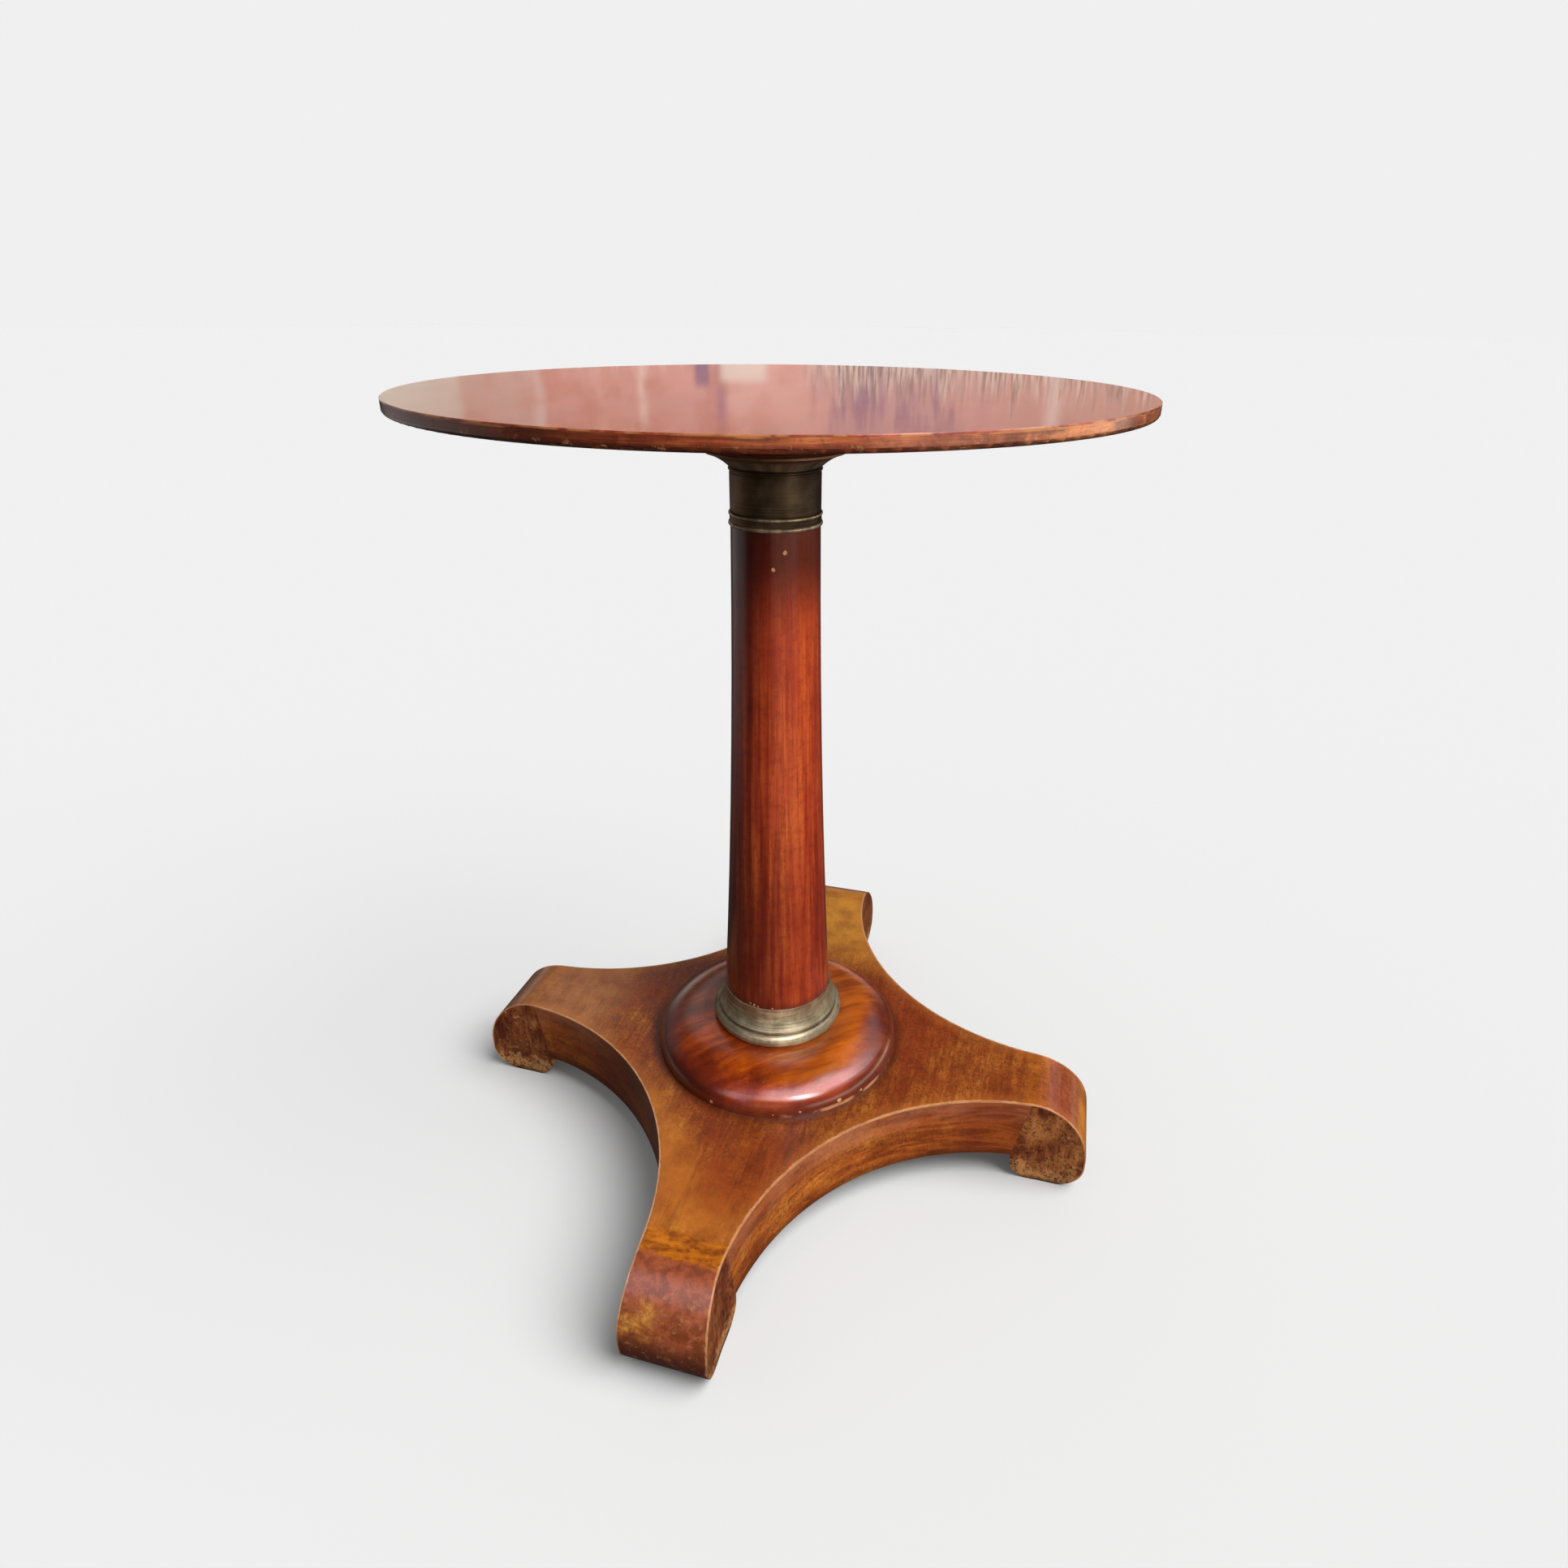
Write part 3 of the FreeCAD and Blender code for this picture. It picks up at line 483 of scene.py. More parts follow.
def make_cushion_finish():
    """Boldly figured wood, whose dark streaks swirl across the turned cushion."""
    wood = Wood("torus_mahogany")
    turn_x = math.cos(CUSHION_GRAIN)
    turn_y = math.sin(CUSHION_GRAIN)
    along = wood.total(wood.product(wood.x, turn_x), wood.product(wood.y, turn_y))
    across = wood.less(wood.product(wood.y, turn_x), wood.product(wood.x, turn_y))
    wood.grain(along, across, wood.product(wood.z, 0.8), width=0.016, length=0.12, wave=0.7)
    wood.dye(wood.tone(0.4, 0.3, 0.2), (0.0, 70, 20, 5), (0.3, 124, 42, 7),
             (0.6, 166, 68, 9), (1.0, 208, 108, 22))
    wood.darken_pores(0.35)
    smoke = wood.drawn_noise((along, 9), (across, 34), 0.0, detail=4.0, roughness=0.6, distortion=0.6)
    wood.stain(paint(58, 18, 9), wood.fade(smoke, 0.51, 0.66), wood.fade(wood.x, -0.02, 0.03, 0.5, 0.92))
    paint_cushion_light_and_shade(wood)
    paint_cushion_foot_shade(wood)
    front = wood.between(wood.bearing(), *[math.radians(turn) for turn in (-78, -60, -4, 12)])
    worn_foot = wood.product(wood.fade(wood.z, CUSHION_FOOT + 0.0050, CUSHION_FOOT + 0.0026), front,
                             wood.patches(45, 0.42, 0.66, roughness=0.5), 0.7)
    bare = wood.greatest(worn_foot, wood.product(wood.spots(*CUSHION_CHIPS), 0.85))
    wood.stain(BARE_WOOD, bare)
    wood.set(Roughness=wood.fade(bare, 0.0, 1.0, 0.26, 0.6), Specular_IOR_Level=0.5)
    wood.set(Coat_Weight=1.0, Coat_Roughness=0.17)
    wood.relief(wood.mottle, 0.0008)
    wood.relief(wood.pores, -0.00005)
    wood.relief(bare, -0.0003)
    wood.apply("torus_base")


def dye_plinth(wood, tone):
    """The worn orange-brown of the plinth."""
    wood.dye(tone, (0.0, 100, 44, 16), (0.35, 138, 66, 24), (0.65, 166, 92, 34), (1.0, 200, 130, 56))
    reddened = wood.fade(wood.cloud, 0.38, 0.56, 0.7, 0.0)
    wood.stain(paint(138, 52, 20), reddened)
    wood.darken_pores(0.35)
    wood.stain(paint(94, 40, 14), wood.patches(230, 0.44, 0.60, detail=5.0, roughness=0.8), 0.55)
    wood.stain(paint(216, 160, 96), wood.patches(190, 0.60, 0.72, detail=5.0, roughness=0.8), 0.45)
    wood.stain(paint(78, 36, 14), wood.fade(wood.speckle, 0.50, 0.66), 0.5)


def tint_arms(wood):
    """The tints of the arms: golden at the back, streaked in front, and a painted pale sheen on the left.
    """
    mottled = wood.fade(wood.mottle, 0.34, 0.62, 0.5, 1.0)
    back_arm = wood.fade(wood.y, 0.10, 0.20, 0.0, 0.8)
    front_arm = wood.product(wood.fade(wood.y, -0.15, -0.23, 0.0, 0.15), wood.fade(wood.x, 0.02, -0.02))
    left_corner = wood.product(wood.fade(wood.total(wood.x, wood.y), -0.17, -0.22, 0.0, 0.5),
                               wood.fade(wood.x, -0.12, -0.08))
    yellow = wood.mix(wood.fade(wood.y, 0.0, 0.12), paint(214, 132, 46), paint(226, 156, 58))
    wood.stain(yellow, wood.greatest(back_arm, front_arm, left_corner), mottled)
    ember = wood.product(wood.between(wood.y, -0.25, -0.20, -0.15, -0.12),
                         wood.fade(wood.streaks, 0.36, 0.56), wood.fade(wood.x, -0.03, 0.0, 0.3, 1.0))
    wood.stain(paint(142, 54, 15), ember, 0.5)
    runs = wood.drawn_noise((wood.x, 75), (wood.y, 8), 3.0, detail=4.0, roughness=0.6, distortion=0.4)
    wood.stain(paint(98, 36, 10), wood.fade(runs, 0.50, 0.64),
               wood.between(wood.y, -0.262, -0.25, -0.15, -0.11), 0.35)
    # Painted sheen: a pale tan veil over the left arm.
    painted_left_sheen = wood.fade(wood.x, -0.14, -0.21, 0.0, 0.42)
    wood.stain(paint(206, 148, 98), painted_left_sheen, mottled)


def wear_hollow_edges(wood):
    """A pale halo along the hollow sides. Returns the share of bare wood on their very edge."""
    inside = wood.hollow_distance()
    wander = wood.edge_wander(0.0036)
    broken = wood.patches(60, 0.40, 0.56, least=0.6)
    halo = wood.fade(wood.total(inside, wood.product(wander, 3.0)), 0.016, 0.001)
    wood.stain(paint(186, 110, 48), halo, 0.32)
    return wood.product(wood.fade(wood.total(inside, wander), 0.0021, 0.0009), broken)


def colour_bends(wood, reach):
    """The golden band before the bend of each arm, and the dark roll after it, both strongest in
    front. Returns the share of the roll."""
    ragged = wood.total(reach, wood.swing(wood.mottle, 0.010))
    front = wood.fade(wood.y, -0.20, -0.25, 0.35, 1.0)
    band = wood.between(ragged, BAND_START - BEND_SOFTNESS, BAND_START + BEND_SOFTNESS,
                        ROLL_START - BEND_SOFTNESS, ROLL_START + BEND_SOFTNESS)
    roll = wood.fade(ragged, ROLL_START - BEND_SOFTNESS, ROLL_START + BEND_SOFTNESS)
    creases = wood.drawn_noise((wood.x, 70), (wood.y, 140), (wood.z, 140), detail=5.0, roughness=0.7)
    gold = wood.mix(wood.fade(creases, 0.34, 0.66), paint(112, 50, 12), paint(202, 116, 26))
    wood.stain(gold, band, front, 0.85)
    ruddy = wood.mix(wood.patches(110, 0.4, 0.62, detail=5.0), paint(98, 40, 30), paint(150, 74, 52))
    wood.stain(ruddy, roll, front, 0.8)
    left_half = wood.fade(wood.x, 0.002, -0.018)
    knee = wood.between(wood.z, 0.040, 0.052, 0.068, 0.080)
    amber = wood.mix(wood.patches(160, 0.4, 0.6), paint(214, 156, 78), paint(176, 98, 26))
    wood.stain(amber, roll, wood.patches(34, 0.38, 0.52, detail=5.0, roughness=0.65), knee,
               left_half, front, 0.9)
    below_knee = wood.fade(wood.z, 0.054, 0.026)
    wood.stain(paint(66, 24, 16), roll, below_knee, 0.88)
    return roll


def scuff_noses(wood, reach):
    """Gold on the nose of the right foot, and scuffs on all four."""
    nose_gold = wood.fade(wood.x, ARM_TIP - 0.014, ARM_TIP - 0.006)
    wood.stain(paint(214, 140, 44), nose_gold, wood.fade(wood.mottle, 0.35, 0.55, 0.4, 1.0), 0.7)
    wood.stain(WORN_WOOD, wood.fade(reach, ARM_TIP - 0.036, ARM_TIP - 0.006),
               wood.patches(120, 0.54, 0.64, detail=6.0, roughness=0.8), 0.6)


NOSE_CHIPS = ((0.0322, -0.3010, 0.0100, 0.0035), (0.0200, -0.2990, 0.0055, 0.0028),
              (-0.0330, -0.3020, 0.0090, 0.0030))


def make_plinth_finish():
    """The plinth's sheet, dull and mottled, and rubbed to bare wood along the hollow sides."""
    wood = Wood("plinth_mahogany")
    wood.grain(wood.y, wood.x, wood.z, width=0.007, length=0.05, wave=1.2)
    dye_plinth(wood, wood.tone(0.4, 0.34, 0.2))
    tint_arms(wood)
    edge = wear_hollow_edges(wood)
    # Painted shade on the plinth round the cushion's foot.
    painted_contact_shade = wood.fade(wood.distance_out(), CUSHION_RADIUS + 0.012, CUSHION_RADIUS - 0.001)
    wood.stain(paint(64, 26, 14), painted_contact_shade, 0.75)
    reach = wood.greatest(wood.size_of(wood.x), wood.size_of(wood.y))
    roll = colour_bends(wood, reach)
    scuff_noses(wood, reach)
    wood.stain(BARE_WOOD, wood.greatest(wood.product(edge, 0.9), wood.spots(*NOSE_CHIPS)))
    wood.mottled_roughness(0.38, 0.55)
    wood.set(Specular_IOR_Level=0.35, Coat_Weight=wood.fade(roll, 0.0, 1.0, 0.35, 1.0))
    wood.set(Coat_Roughness=0.2)
    wood.relief(wood.mottle, 0.0004)
    wood.relief(wood.fibres, 0.00005)
    wood.relief(edge, -0.0004)
    wood.apply("plinth_veneer")


SIDE_CHIPS = ((0.2050, -0.0790, 0.0680, 0.0022), (0.1420, -0.0940, 0.0310, 0.0028))


def make_side_finish():
    """The veneer of the hollow sides, whose grain runs along them, and differs from side to side, with a
    painted sheen along the top and painted shade on the left sides.
    """
    wood = Wood("side_mahogany")
    run = wood.product(wood.hollow_bearing(), HOLLOW_RADIUS)
    side_shift = wood.total(wood.product(wood.calculate("SIGN", wood.x), 0.37),
                            wood.product(wood.calculate("SIGN", wood.y), 0.71))
    wood.grain(wood.total(run, side_shift), wood.z, wood.hollow_distance(),
               width=0.0085, length=0.07, wave=1.2)
    dye_plinth(wood, wood.total(wood.tone(0.3, 0.42, 0.24), 0.06))
    blotchy = wood.fade(wood.mottle, 0.3, 0.6, 0.4, 0.9)
    wood.stain(paint(96, 34, 18), wood.fade(wood.x, 0.17, 0.21), blotchy)
    wood.stain(paint(208, 104, 40), wood.fade(wood.streaks, 0.40, 0.62), 0.25)
    # Painted sheen along the upper part of the sides.
    painted_sheen = wood.fade(wood.z, PLINTH_HEAD - 0.034, PLINTH_HEAD - 0.008, 0.0, 0.45)
    wood.stain(paint(158, 102, 82), painted_sheen, wood.fade(wood.cloud, 0.40, 0.58),
               wood.fade(wood.mottle, 0.3, 0.6, 0.4, 1.0))
    # Painted shade on the sides towards the left.
    wood.stain(paint(90, 34, 22), wood.fade(wood.x, -0.02, -0.10), 0.2)
    wood.stain(GRIME, wood.fade(wood.z, PLINTH_UNDER + 0.012, PLINTH_UNDER + 0.001), 0.6)
    ragged = wood.total(wood.z, wood.edge_wander(0.0026))
    upper_edge = wood.fade(ragged, PLINTH_HEAD - 0.0020, PLINTH_HEAD - 0.0012, 0.0, 0.7)
    chips = wood.product(wood.spots(*SIDE_CHIPS), 0.75)
    wood.stain(BARE_WOOD, wood.greatest(upper_edge, chips))
    wood.mottled_roughness(0.32, 0.5)
    wood.set(Specular_IOR_Level=0.4, Coat_Weight=0.5, Coat_Roughness=0.22)
    wood.relief(wood.mottle, 0.0005)
    wood.relief(wood.pores, -0.00005)
    wood.apply(*[name for name in nodes if name.startswith("side_veneer")])


def make_foot_finish():
    """The cheeks of the feet, knocked and scuffed down to the bare wood."""
    wood = Wood("foot_mahogany")
    wood.grain(wood.z, wood.x, wood.y, width=0.006, length=0.04, wave=1.2)
    wood.dye(wood.tone(0.3, 0.5, 0.18), (0.0, 72, 31, 18), (0.4, 116, 57, 30),
             (0.7, 150, 86, 45), (1.0, 180, 122, 70))
    wood.darken_pores(0.5)
    knocks = wood.noise(wood.place, 80.0, 6.0, 0.8)
    low = wood.fade(wood.z, 0.040, 0.004, 0.36, 0.58)
    worn = wood.fade(wood.total(knocks, low), 0.96, 1.06)
    wood.stain(paint(206, 152, 98), worn, wood.fade(wood.x, 0.0, -0.2, 0.6, 1.0), 0.85)
    right_foot = wood.fade(wood.x, 0.18, 0.22)
    wood.stain(paint(196, 132, 76), right_foot, wood.fade(wood.mottle, 0.4, 0.6), 0.25)
    gouges = wood.patches(150, 0.66, 0.70, detail=3.0, roughness=0.6)
    wood.stain(paint(214, 160, 116), gouges, 0.7)
    pits = wood.patches(300, 0.52, 0.62, roughness=0.8)
    wood.stain(GRIME, pits, 0.7)
    tread = wood.fade(wood.z, 0.006, 0.001)
    wood.stain(GRIME, tread, 0.8)
    wood.set(Roughness=wood.fade(worn, 0.0, 1.0, 0.45, 0.75), Specular_IOR_Level=0.35)
    wood.set(Coat_Weight=0.3, Coat_Roughness=0.28)
    wood.relief(knocks, 0.0010)
    wood.relief(pits, -0.0005)
    wood.relief(gouges, -0.0004)
    wood.apply("foot_right", "foot_back", "foot_left", "foot_front")


def make_block_finish():
    """The dull block under the top."""
    wood = Wood("block_mahogany")
    wood.grain(wood.x, wood.y, wood.z, width=0.005, length=0.12, wave=0.6)
    wood.dye(wood.tone(0.5, 0.3), (0.0, 46, 18, 10), (0.5, 92, 42, 22), (1.0, 134, 72, 40))
    wood.darken_pores(0.5)
    wood.mottled_roughness(0.5, 0.7)
    wood.set(Specular_IOR_Level=0.3)
    wood.relief(wood.fibres, 0.00008)
    wood.apply("top_block")


def make_bare_finish(name, light, dark, *pieces):
    """Unpolished wood of the hidden boards and pegs, from a light and a dark colour on the screen."""
    wood = Wood(name)
    wood.grain(wood.x, wood.y, wood.z, width=0.004, length=0.2, wave=0.5)
    wood.dye(wood.tone(0.6, 0.2), (0.0, *dark), (0.6, *light), (1.0, *light))
    wood.darken_pores(0.25)
    dirt = wood.patches(9, 0.45, 0.7, detail=5.0, roughness=0.65)
    wood.stain(paint(84, 58, 38), dirt, 0.45)
    wood.mottled_roughness(0.65, 0.85)
    wood.set(Specular_IOR_Level=0.25)
    wood.relief(wood.streaks, 0.0003)
    wood.relief(wood.fibres, 0.0001)
    wood.apply(*pieces)


# Metals

class Metal(Finish):
    """A metal, turned or rolled."""

    def turned_lines(self, round_scale, cross_scale, roughness):
        """The fine lines that turning leaves, which run round the column."""
        return self.drawn_noise((self.bearing(), round_scale), (self.distance_out(), cross_scale),
                                (self.z, cross_scale), roughness=roughness)


def tone_capital_and_paint_reflection(brass):
    """The capital darker on its right and lighter on its left, with a painted dark reflection on the side
    that faces the camera, and ruddy under its lip.
    """
    darker_right = brass.fade(brass.x, 0.012, 0.034)
    brass.stain(paint(46, 37, 30), darker_right, 0.75)
    lighter_left = brass.fade(brass.x, 0.000, -0.022)
    brass.stain(paint(152, 128, 100), lighter_left, 0.45)
    # Painted reflection: a dark upright band on the side that faces the camera.
    painted_dark_reflection = brass.between(brass.bearing(), *[math.radians(turn) for turn in (-98, -76, -64, -54)])
    brass.stain(paint(54, 42, 32), painted_dark_reflection, 0.5)
    ruddy = brass.fade(brass.z, CAPITAL_HEAD - 0.009, CAPITAL_HEAD - 0.004)
    brass.stain(paint(154, 112, 84), ruddy, 0.85)


def rub_and_highlight_capital(brass):
    """The bright crests of the capital's beads and its flare: rubbed brass under a painted highlight.
    Returns their share.
    """
    crests = brass.fade(brass.distance_out(), COLUMN_TOP_RADIUS + 0.0006, COLUMN_TOP_RADIUS + 0.0014)
    beads = brass.product(crests, brass.fade(brass.z, COLUMN_HEAD + 0.014, COLUMN_HEAD + 0.011))
    flare = brass.product(brass.between(brass.z, CAPITAL_HEAD - 0.0135, CAPITAL_HEAD - 0.011,
                                        CAPITAL_HEAD - 0.007, CAPITAL_HEAD - 0.004), 0.8)
    round_about = brass.drawn_noise((brass.bearing(), 3.0), 0.0, 0.0, detail=2.0)
    glints = brass.fade(round_about, 0.4, 0.6, 0.45, 1.0)
    rubbed = brass.product(brass.greatest(beads, flare), glints, 0.9)
    # Painted highlight over the rubbed crests.
    brass.stain(paint(234, 214, 176), rubbed)
    return rubbed


def make_capital_finish():
    """Cast brass gone almost black, with the lines of its turning, rubbed on its beads and its flare,
    which carry painted highlights.
    """
    brass = Metal("capital_brass")
    lines = brass.turned_lines(0.4, 1300, 0.6)
    cloud = brass.noise(brass.place, 40.0)
    lower = brass.fade(brass.z, COLUMN_HEAD + 0.034, COLUMN_HEAD + 0.018, 0.12, 0.5)
    bands = brass.total(brass.swing(lines, lower), brass.product(cloud, 0.6))
    brass.dye(brass.fade(bands, 0.15, 0.47), (0.0, 80, 62, 46), (0.5, 104, 86, 64), (1.0, 132, 112, 84))
    tone_capital_and_paint_reflection(brass)
    rubbed = rub_and_highlight_capital(brass)
    verdigris = brass.patches(130, 0.58, 0.7)
    brass.stain(paint(80, 80, 60), verdigris, 0.4)
    brass.set(Metallic=brass.fade(cloud, 0.35, 0.65, 0.85, 0.7))
    brass.set(Roughness=brass.less(brass.fade(bands, 0.15, 0.45, 0.52, 0.42), brass.product(rubbed, 0.12)))
    brass.relief(lines, 0.00004)
    brass.relief(brass.noise(brass.place, 260.0), 0.0001)
    brass.apply("capital")


def make_ring_finish():
    """Paler brass, dull grey-green, darker in its groove and at its foot."""
    brass = Metal("ring_brass")
    lines = brass.turned_lines(1.2, 800, 0.65)
    cloud = brass.noise(brass.place, 70.0, 5.0, 0.65)
    bands = brass.total(brass.product(lines, 0.6), brass.product(cloud, 0.4))
    brass.dye(brass.fade(bands, 0.32, 0.68), (0.0, 128, 118, 92), (0.5, 178, 168, 138),
              (1.0, 220, 210, 174))
    groove = brass.between(brass.z, RING_FOOT + 0.0114, RING_FOOT + 0.0122,
                           RING_FOOT + 0.0136, RING_FOOT + 0.0146)
    brass.stain(paint(80, 72, 54), groove, 0.3)
    foot = brass.fade(brass.z, RING_FOOT + 0.003, RING_FOOT)
    brass.stain(paint(60, 48, 32), foot, 0.7)
    # Painted shade over the ring's left and right, which leaves a bright strip just right of its middle.
    painted_side_shade = brass.greatest(brass.fade(brass.x, 0.028, 0.050, 0.0, 0.55),
                             brass.fade(brass.x, 0.010, -0.040, 0.0, 0.5))
    brass.stain(paint(92, 90, 70), painted_side_shade)
    verdigris = brass.patches(150, 0.55, 0.7)
    brass.stain(paint(118, 126, 104), verdigris, 0.4)
    brass.set(Metallic=brass.fade(cloud, 0.35, 0.65, 0.8, 0.5))
    brass.set(Roughness=brass.fade(bands, 0.3, 0.7, 0.52, 0.38))
    brass.relief(lines, 0.00012)
    brass.relief(brass.noise(brass.place, 300.0), 0.00012)
    brass.apply("base_ring")


def make_screw_finish():
    """Dull steel of the wood screws."""
    steel = Metal("screw_steel")
    cloud = steel.noise(steel.place, 300.0, 4.0, 0.6)
    steel.dye(cloud, (0.3, 70, 56, 46), (0.6, 128, 124, 118), (1.0, 160, 156, 150))
    steel.set(Metallic=1.0, Roughness=steel.fade(cloud, 0.3, 0.7, 0.6, 0.4))
    steel.relief(cloud, 0.0001)
    steel.apply("block_screws", "torus_screws")


make_top_finish()
make_edge_finish()
make_column_finish()
make_cushion_finish()
make_plinth_finish()
make_side_finish()
make_foot_finish()
make_block_finish()
make_bare_finish("carcass_pine", (178, 138, 92), (128, 88, 52),
                 "top_core", "plinth_upper_board", "plinth_lower_board")
make_bare_finish("peg_beech", (190, 152, 108), (150, 110, 70),
                 "top_wedge", "foot_wedge", "foot_dowels")
make_capital_finish()
make_ring_finish()
make_screw_finish()


# Floor and sky

FLOOR_REACH = 30.0
FLOOR_CORNERS = 96
FLOOR_GREY = (0.3, 0.3, 0.3, 1.0)
FLOOR_GLOW = 0.045
BACKDROP_LIGHT = 0.871
TABLE_FILL = 0.07


def grey(level):
    """A grey of some brightness."""
    return (level, level, level, 1.0)


def add_object(name, data):
    """Puts a floor, lamp or camera into the scene."""
    made = bpy.data.objects.new(name, data)
    bpy.context.scene.collection.objects.link(made)
    return made


def make_floor():
    """A wide pale floor, which meets a sky of its own colour far away."""
    mesh = bmesh.new()
    bmesh.ops.create_circle(mesh, cap_ends=True, radius=FLOOR_REACH, segments=FLOOR_CORNERS)
    data = bpy.data.meshes.new("studio_floor")
    mesh.to_mesh(data)
    mesh.free()
    floor = add_object("studio_floor", data)
    finish = Finish("studio_floor")
    finish.set(Base_Color=FLOOR_GREY, Roughness=1.0, Specular_IOR_Level=0.0)
    finish.set(Emission_Color=grey(1.0), Emission_Strength=FLOOR_GLOW)
    data.materials.append(finish.material)
    floor.visible_glossy = False
    floor.visible_diffuse = False
    return floor


# The windows of the room that the polish mirrors. Each has its middle as azimuth, from the front
# towards the right, and elevation, half its width and height, and the softness of its border, all in
# degrees, then its colour and brightness
WINDOWS = {
    "key window": (44, 49, 12, 9, 10, (1.0, 0.97, 0.98), 15.0),
    "wide front light": (54, 59, 57, 15, 16, (1.0, 0.84, 0.92), 5.0),
    "right band light": (108, 44, 24, 11, 16, (1.0, 0.82, 0.90), 1.8),
    "front left light": (-24, 44, 12, 18, 14, (1.0, 0.84, 0.98), 1.9),
    "right light": (132, 40, 32, 15, 16, (1.0, 0.80, 0.88), 0.75),
    "low right light": (88, -1, 46, 5, 10, (1.0, 0.86, 0.74), 2.3),
    "low front light": (40, -14, 34, 12, 14, (1.0, 0.88, 0.76), 0.3),
    "front sill light": (8, 14, 24, 9, 14, (1.0, 0.86, 0.92), 0.42),
    "back left light": (-145, 38, 16, 10, 16, (1.0, 0.9, 0.86), 0.6),
    "left light": (-112, 19, 18, 14, 14, (0.95, 0.78, 0.80), 0.2),
    "left floor light": (-96, -12, 30, 6, 24, (0.92, 0.77, 0.76), 0.52),
}
ROOM_DARK = (0.035, 0.03, 0.028, 1.0)

# The wall behind the table, whose middle is where the camera looks: how far it reaches to each side,
# and its bands of colour, each as degrees to the right and a colour in the linear scale
BEHIND = 180 + math.degrees(CAMERA_AZIMUTH)
WALL_REACH = 24.0
WALL_BANDS = (
    (-22.0, (0.78, 0.71, 0.60)), (-17.1, (0.74, 0.60, 0.50)), (-16.5, (0.68, 0.42, 0.34)),
    (-13.5, (0.70, 0.45, 0.38)), (-12.8, (0.80, 0.57, 0.51)), (-12.2, (0.76, 0.39, 0.33)),
    (-10.2, (0.77, 0.40, 0.34)), (-9.6, (0.84, 0.47, 0.40)), (-9.1, (0.79, 0.41, 0.34)),
    (-7.7, (0.80, 0.42, 0.35)), (-7.3, (0.93, 0.62, 0.53)), (-6.8, (0.80, 0.41, 0.35)),
    (-3.6, (0.84, 0.44, 0.38)), (-3.0, (0.54, 0.28, 0.33)), (-2.4, (0.92, 0.52, 0.45)),
    (2.2, (0.90, 0.49, 0.42)), (4.6, (0.72, 0.43, 0.40)), (9.0, (0.72, 0.43, 0.40)),
    (10.6, (0.80, 0.46, 0.40)), (14.4, (0.76, 0.42, 0.36)), (15.2, (0.91, 0.65, 0.57)),
    (16.0, (0.76, 0.44, 0.37)), (22.0, (0.70, 0.40, 0.32)))
EMBER = (0.66, 0.30, 0.22, 1.0)
MAUVE = (0.42, 0.24, 0.32, 1.0)
DARK_RAIL = (0.34, 0.26, 0.22, 1.0)
PALE_RAIL = (0.92, 0.72, 0.60, 1.0)
PALE_POST = (0.96, 0.78, 0.70, 1.0)
CREAM = (1.0, 0.84, 0.72, 1.0)
BRUISE = (0.30, 0.20, 0.30, 1.0)


class Sky(Wiring):
    """The world's light, with the angles of each direction in it."""

    def __init__(self, name):
        world = bpy.data.worlds.new(name)
        bpy.context.scene.world = world
        world.use_nodes = True
        super().__init__(world.node_tree)
        self.direction = self.split(self.add("ShaderNodeTexCoord").outputs["Generated"])

    def angles(self, azimuth):
        """How far a direction lies past an azimuth, and how far above the floor, in radians."""
        turn = math.radians(azimuth)
        x, y, z = self.direction
        side = self.total(self.product(x, math.cos(turn)), self.product(y, math.sin(turn)))
        ahead = self.less(self.product(x, math.sin(turn)), self.product(y, math.cos(turn)))
        return self.calculate("ARCTAN2", side, ahead), self.calculate("ARCSINE", z)

    def window(self, azimuth, elevation, half_width, half_height, border):
        """How much of a soft-edged window lies in a direction."""
        aside, rise = self.angles(azimuth)
        above = self.less(rise, math.radians(elevation))
        shares = []
        for angle, half in ((aside, half_width), (above, half_height)):
            outer = math.radians(half + border / 2)
            inner = math.radians(half - border / 2)
            shares.append(self.fade(self.size_of(angle), outer, inner))
        return self.product(*shares)


def lay_wall_bands(sky, aside):
    """The upright bands of the far wall, each fading into the next."""
    sky.colour = (*WALL_BANDS[0][1], 1.0)
    for (start, _), (end, colour) in zip(WALL_BANDS, WALL_BANDS[1:]):
        sky.stain((*colour, 1.0), sky.fade(aside, start, end))


def mottle_wall(sky, aside, rise, ripple):
    """Reddish embers on the left of the far wall, and mauve veils on its right."""
    mottle = sky.drawn_noise((aside, 0.45), (rise, 0.5), 8.0, detail=4.0, roughness=0.6)
    sky.stain(EMBER, sky.fade(mottle, 0.44, 0.62), sky.fade(aside, 2.0, -2.0, 0.3, 1.0),
              sky.fade(aside, -19.0, -15.0), 0.65)
    sky.stain(MAUVE, sky.between(aside, 1.5, 3.5, 9.5, 12.5), sky.fade(ripple, 0.42, 0.58),
              sky.fade(rise, 8.0, 5.0, 0.2, 1.0), 0.85)


def streak_wall(sky, aside, rise, ripple):
    """Fine rails low on the right of the far wall, and pale posts low on its left."""
    streaks = sky.drawn_noise((aside, 2.1), (rise, 0.2), 0.0, detail=4.0, roughness=0.7)
    ragged = sky.total(rise, sky.swing(streaks, 7.0))
    fine = sky.drawn_noise((aside, 4.6), (rise, 0.5), 5.0, roughness=0.7)
    rails = sky.mix(sky.fade(fine, 0.40, 0.60), DARK_RAIL, PALE_RAIL)
    sky.stain(rails, sky.fade(ragged, 5.6, 3.6), sky.fade(aside, 1.0, 3.0),
              sky.fade(ripple, 0.34, 0.50, 0.6, 1.0), 0.8)
    sky.stain(PALE_POST, sky.fade(ragged, 4.6, 3.8), sky.fade(aside, -4.0, -5.5),
              sky.fade(streaks, 0.52, 0.60), 0.6)


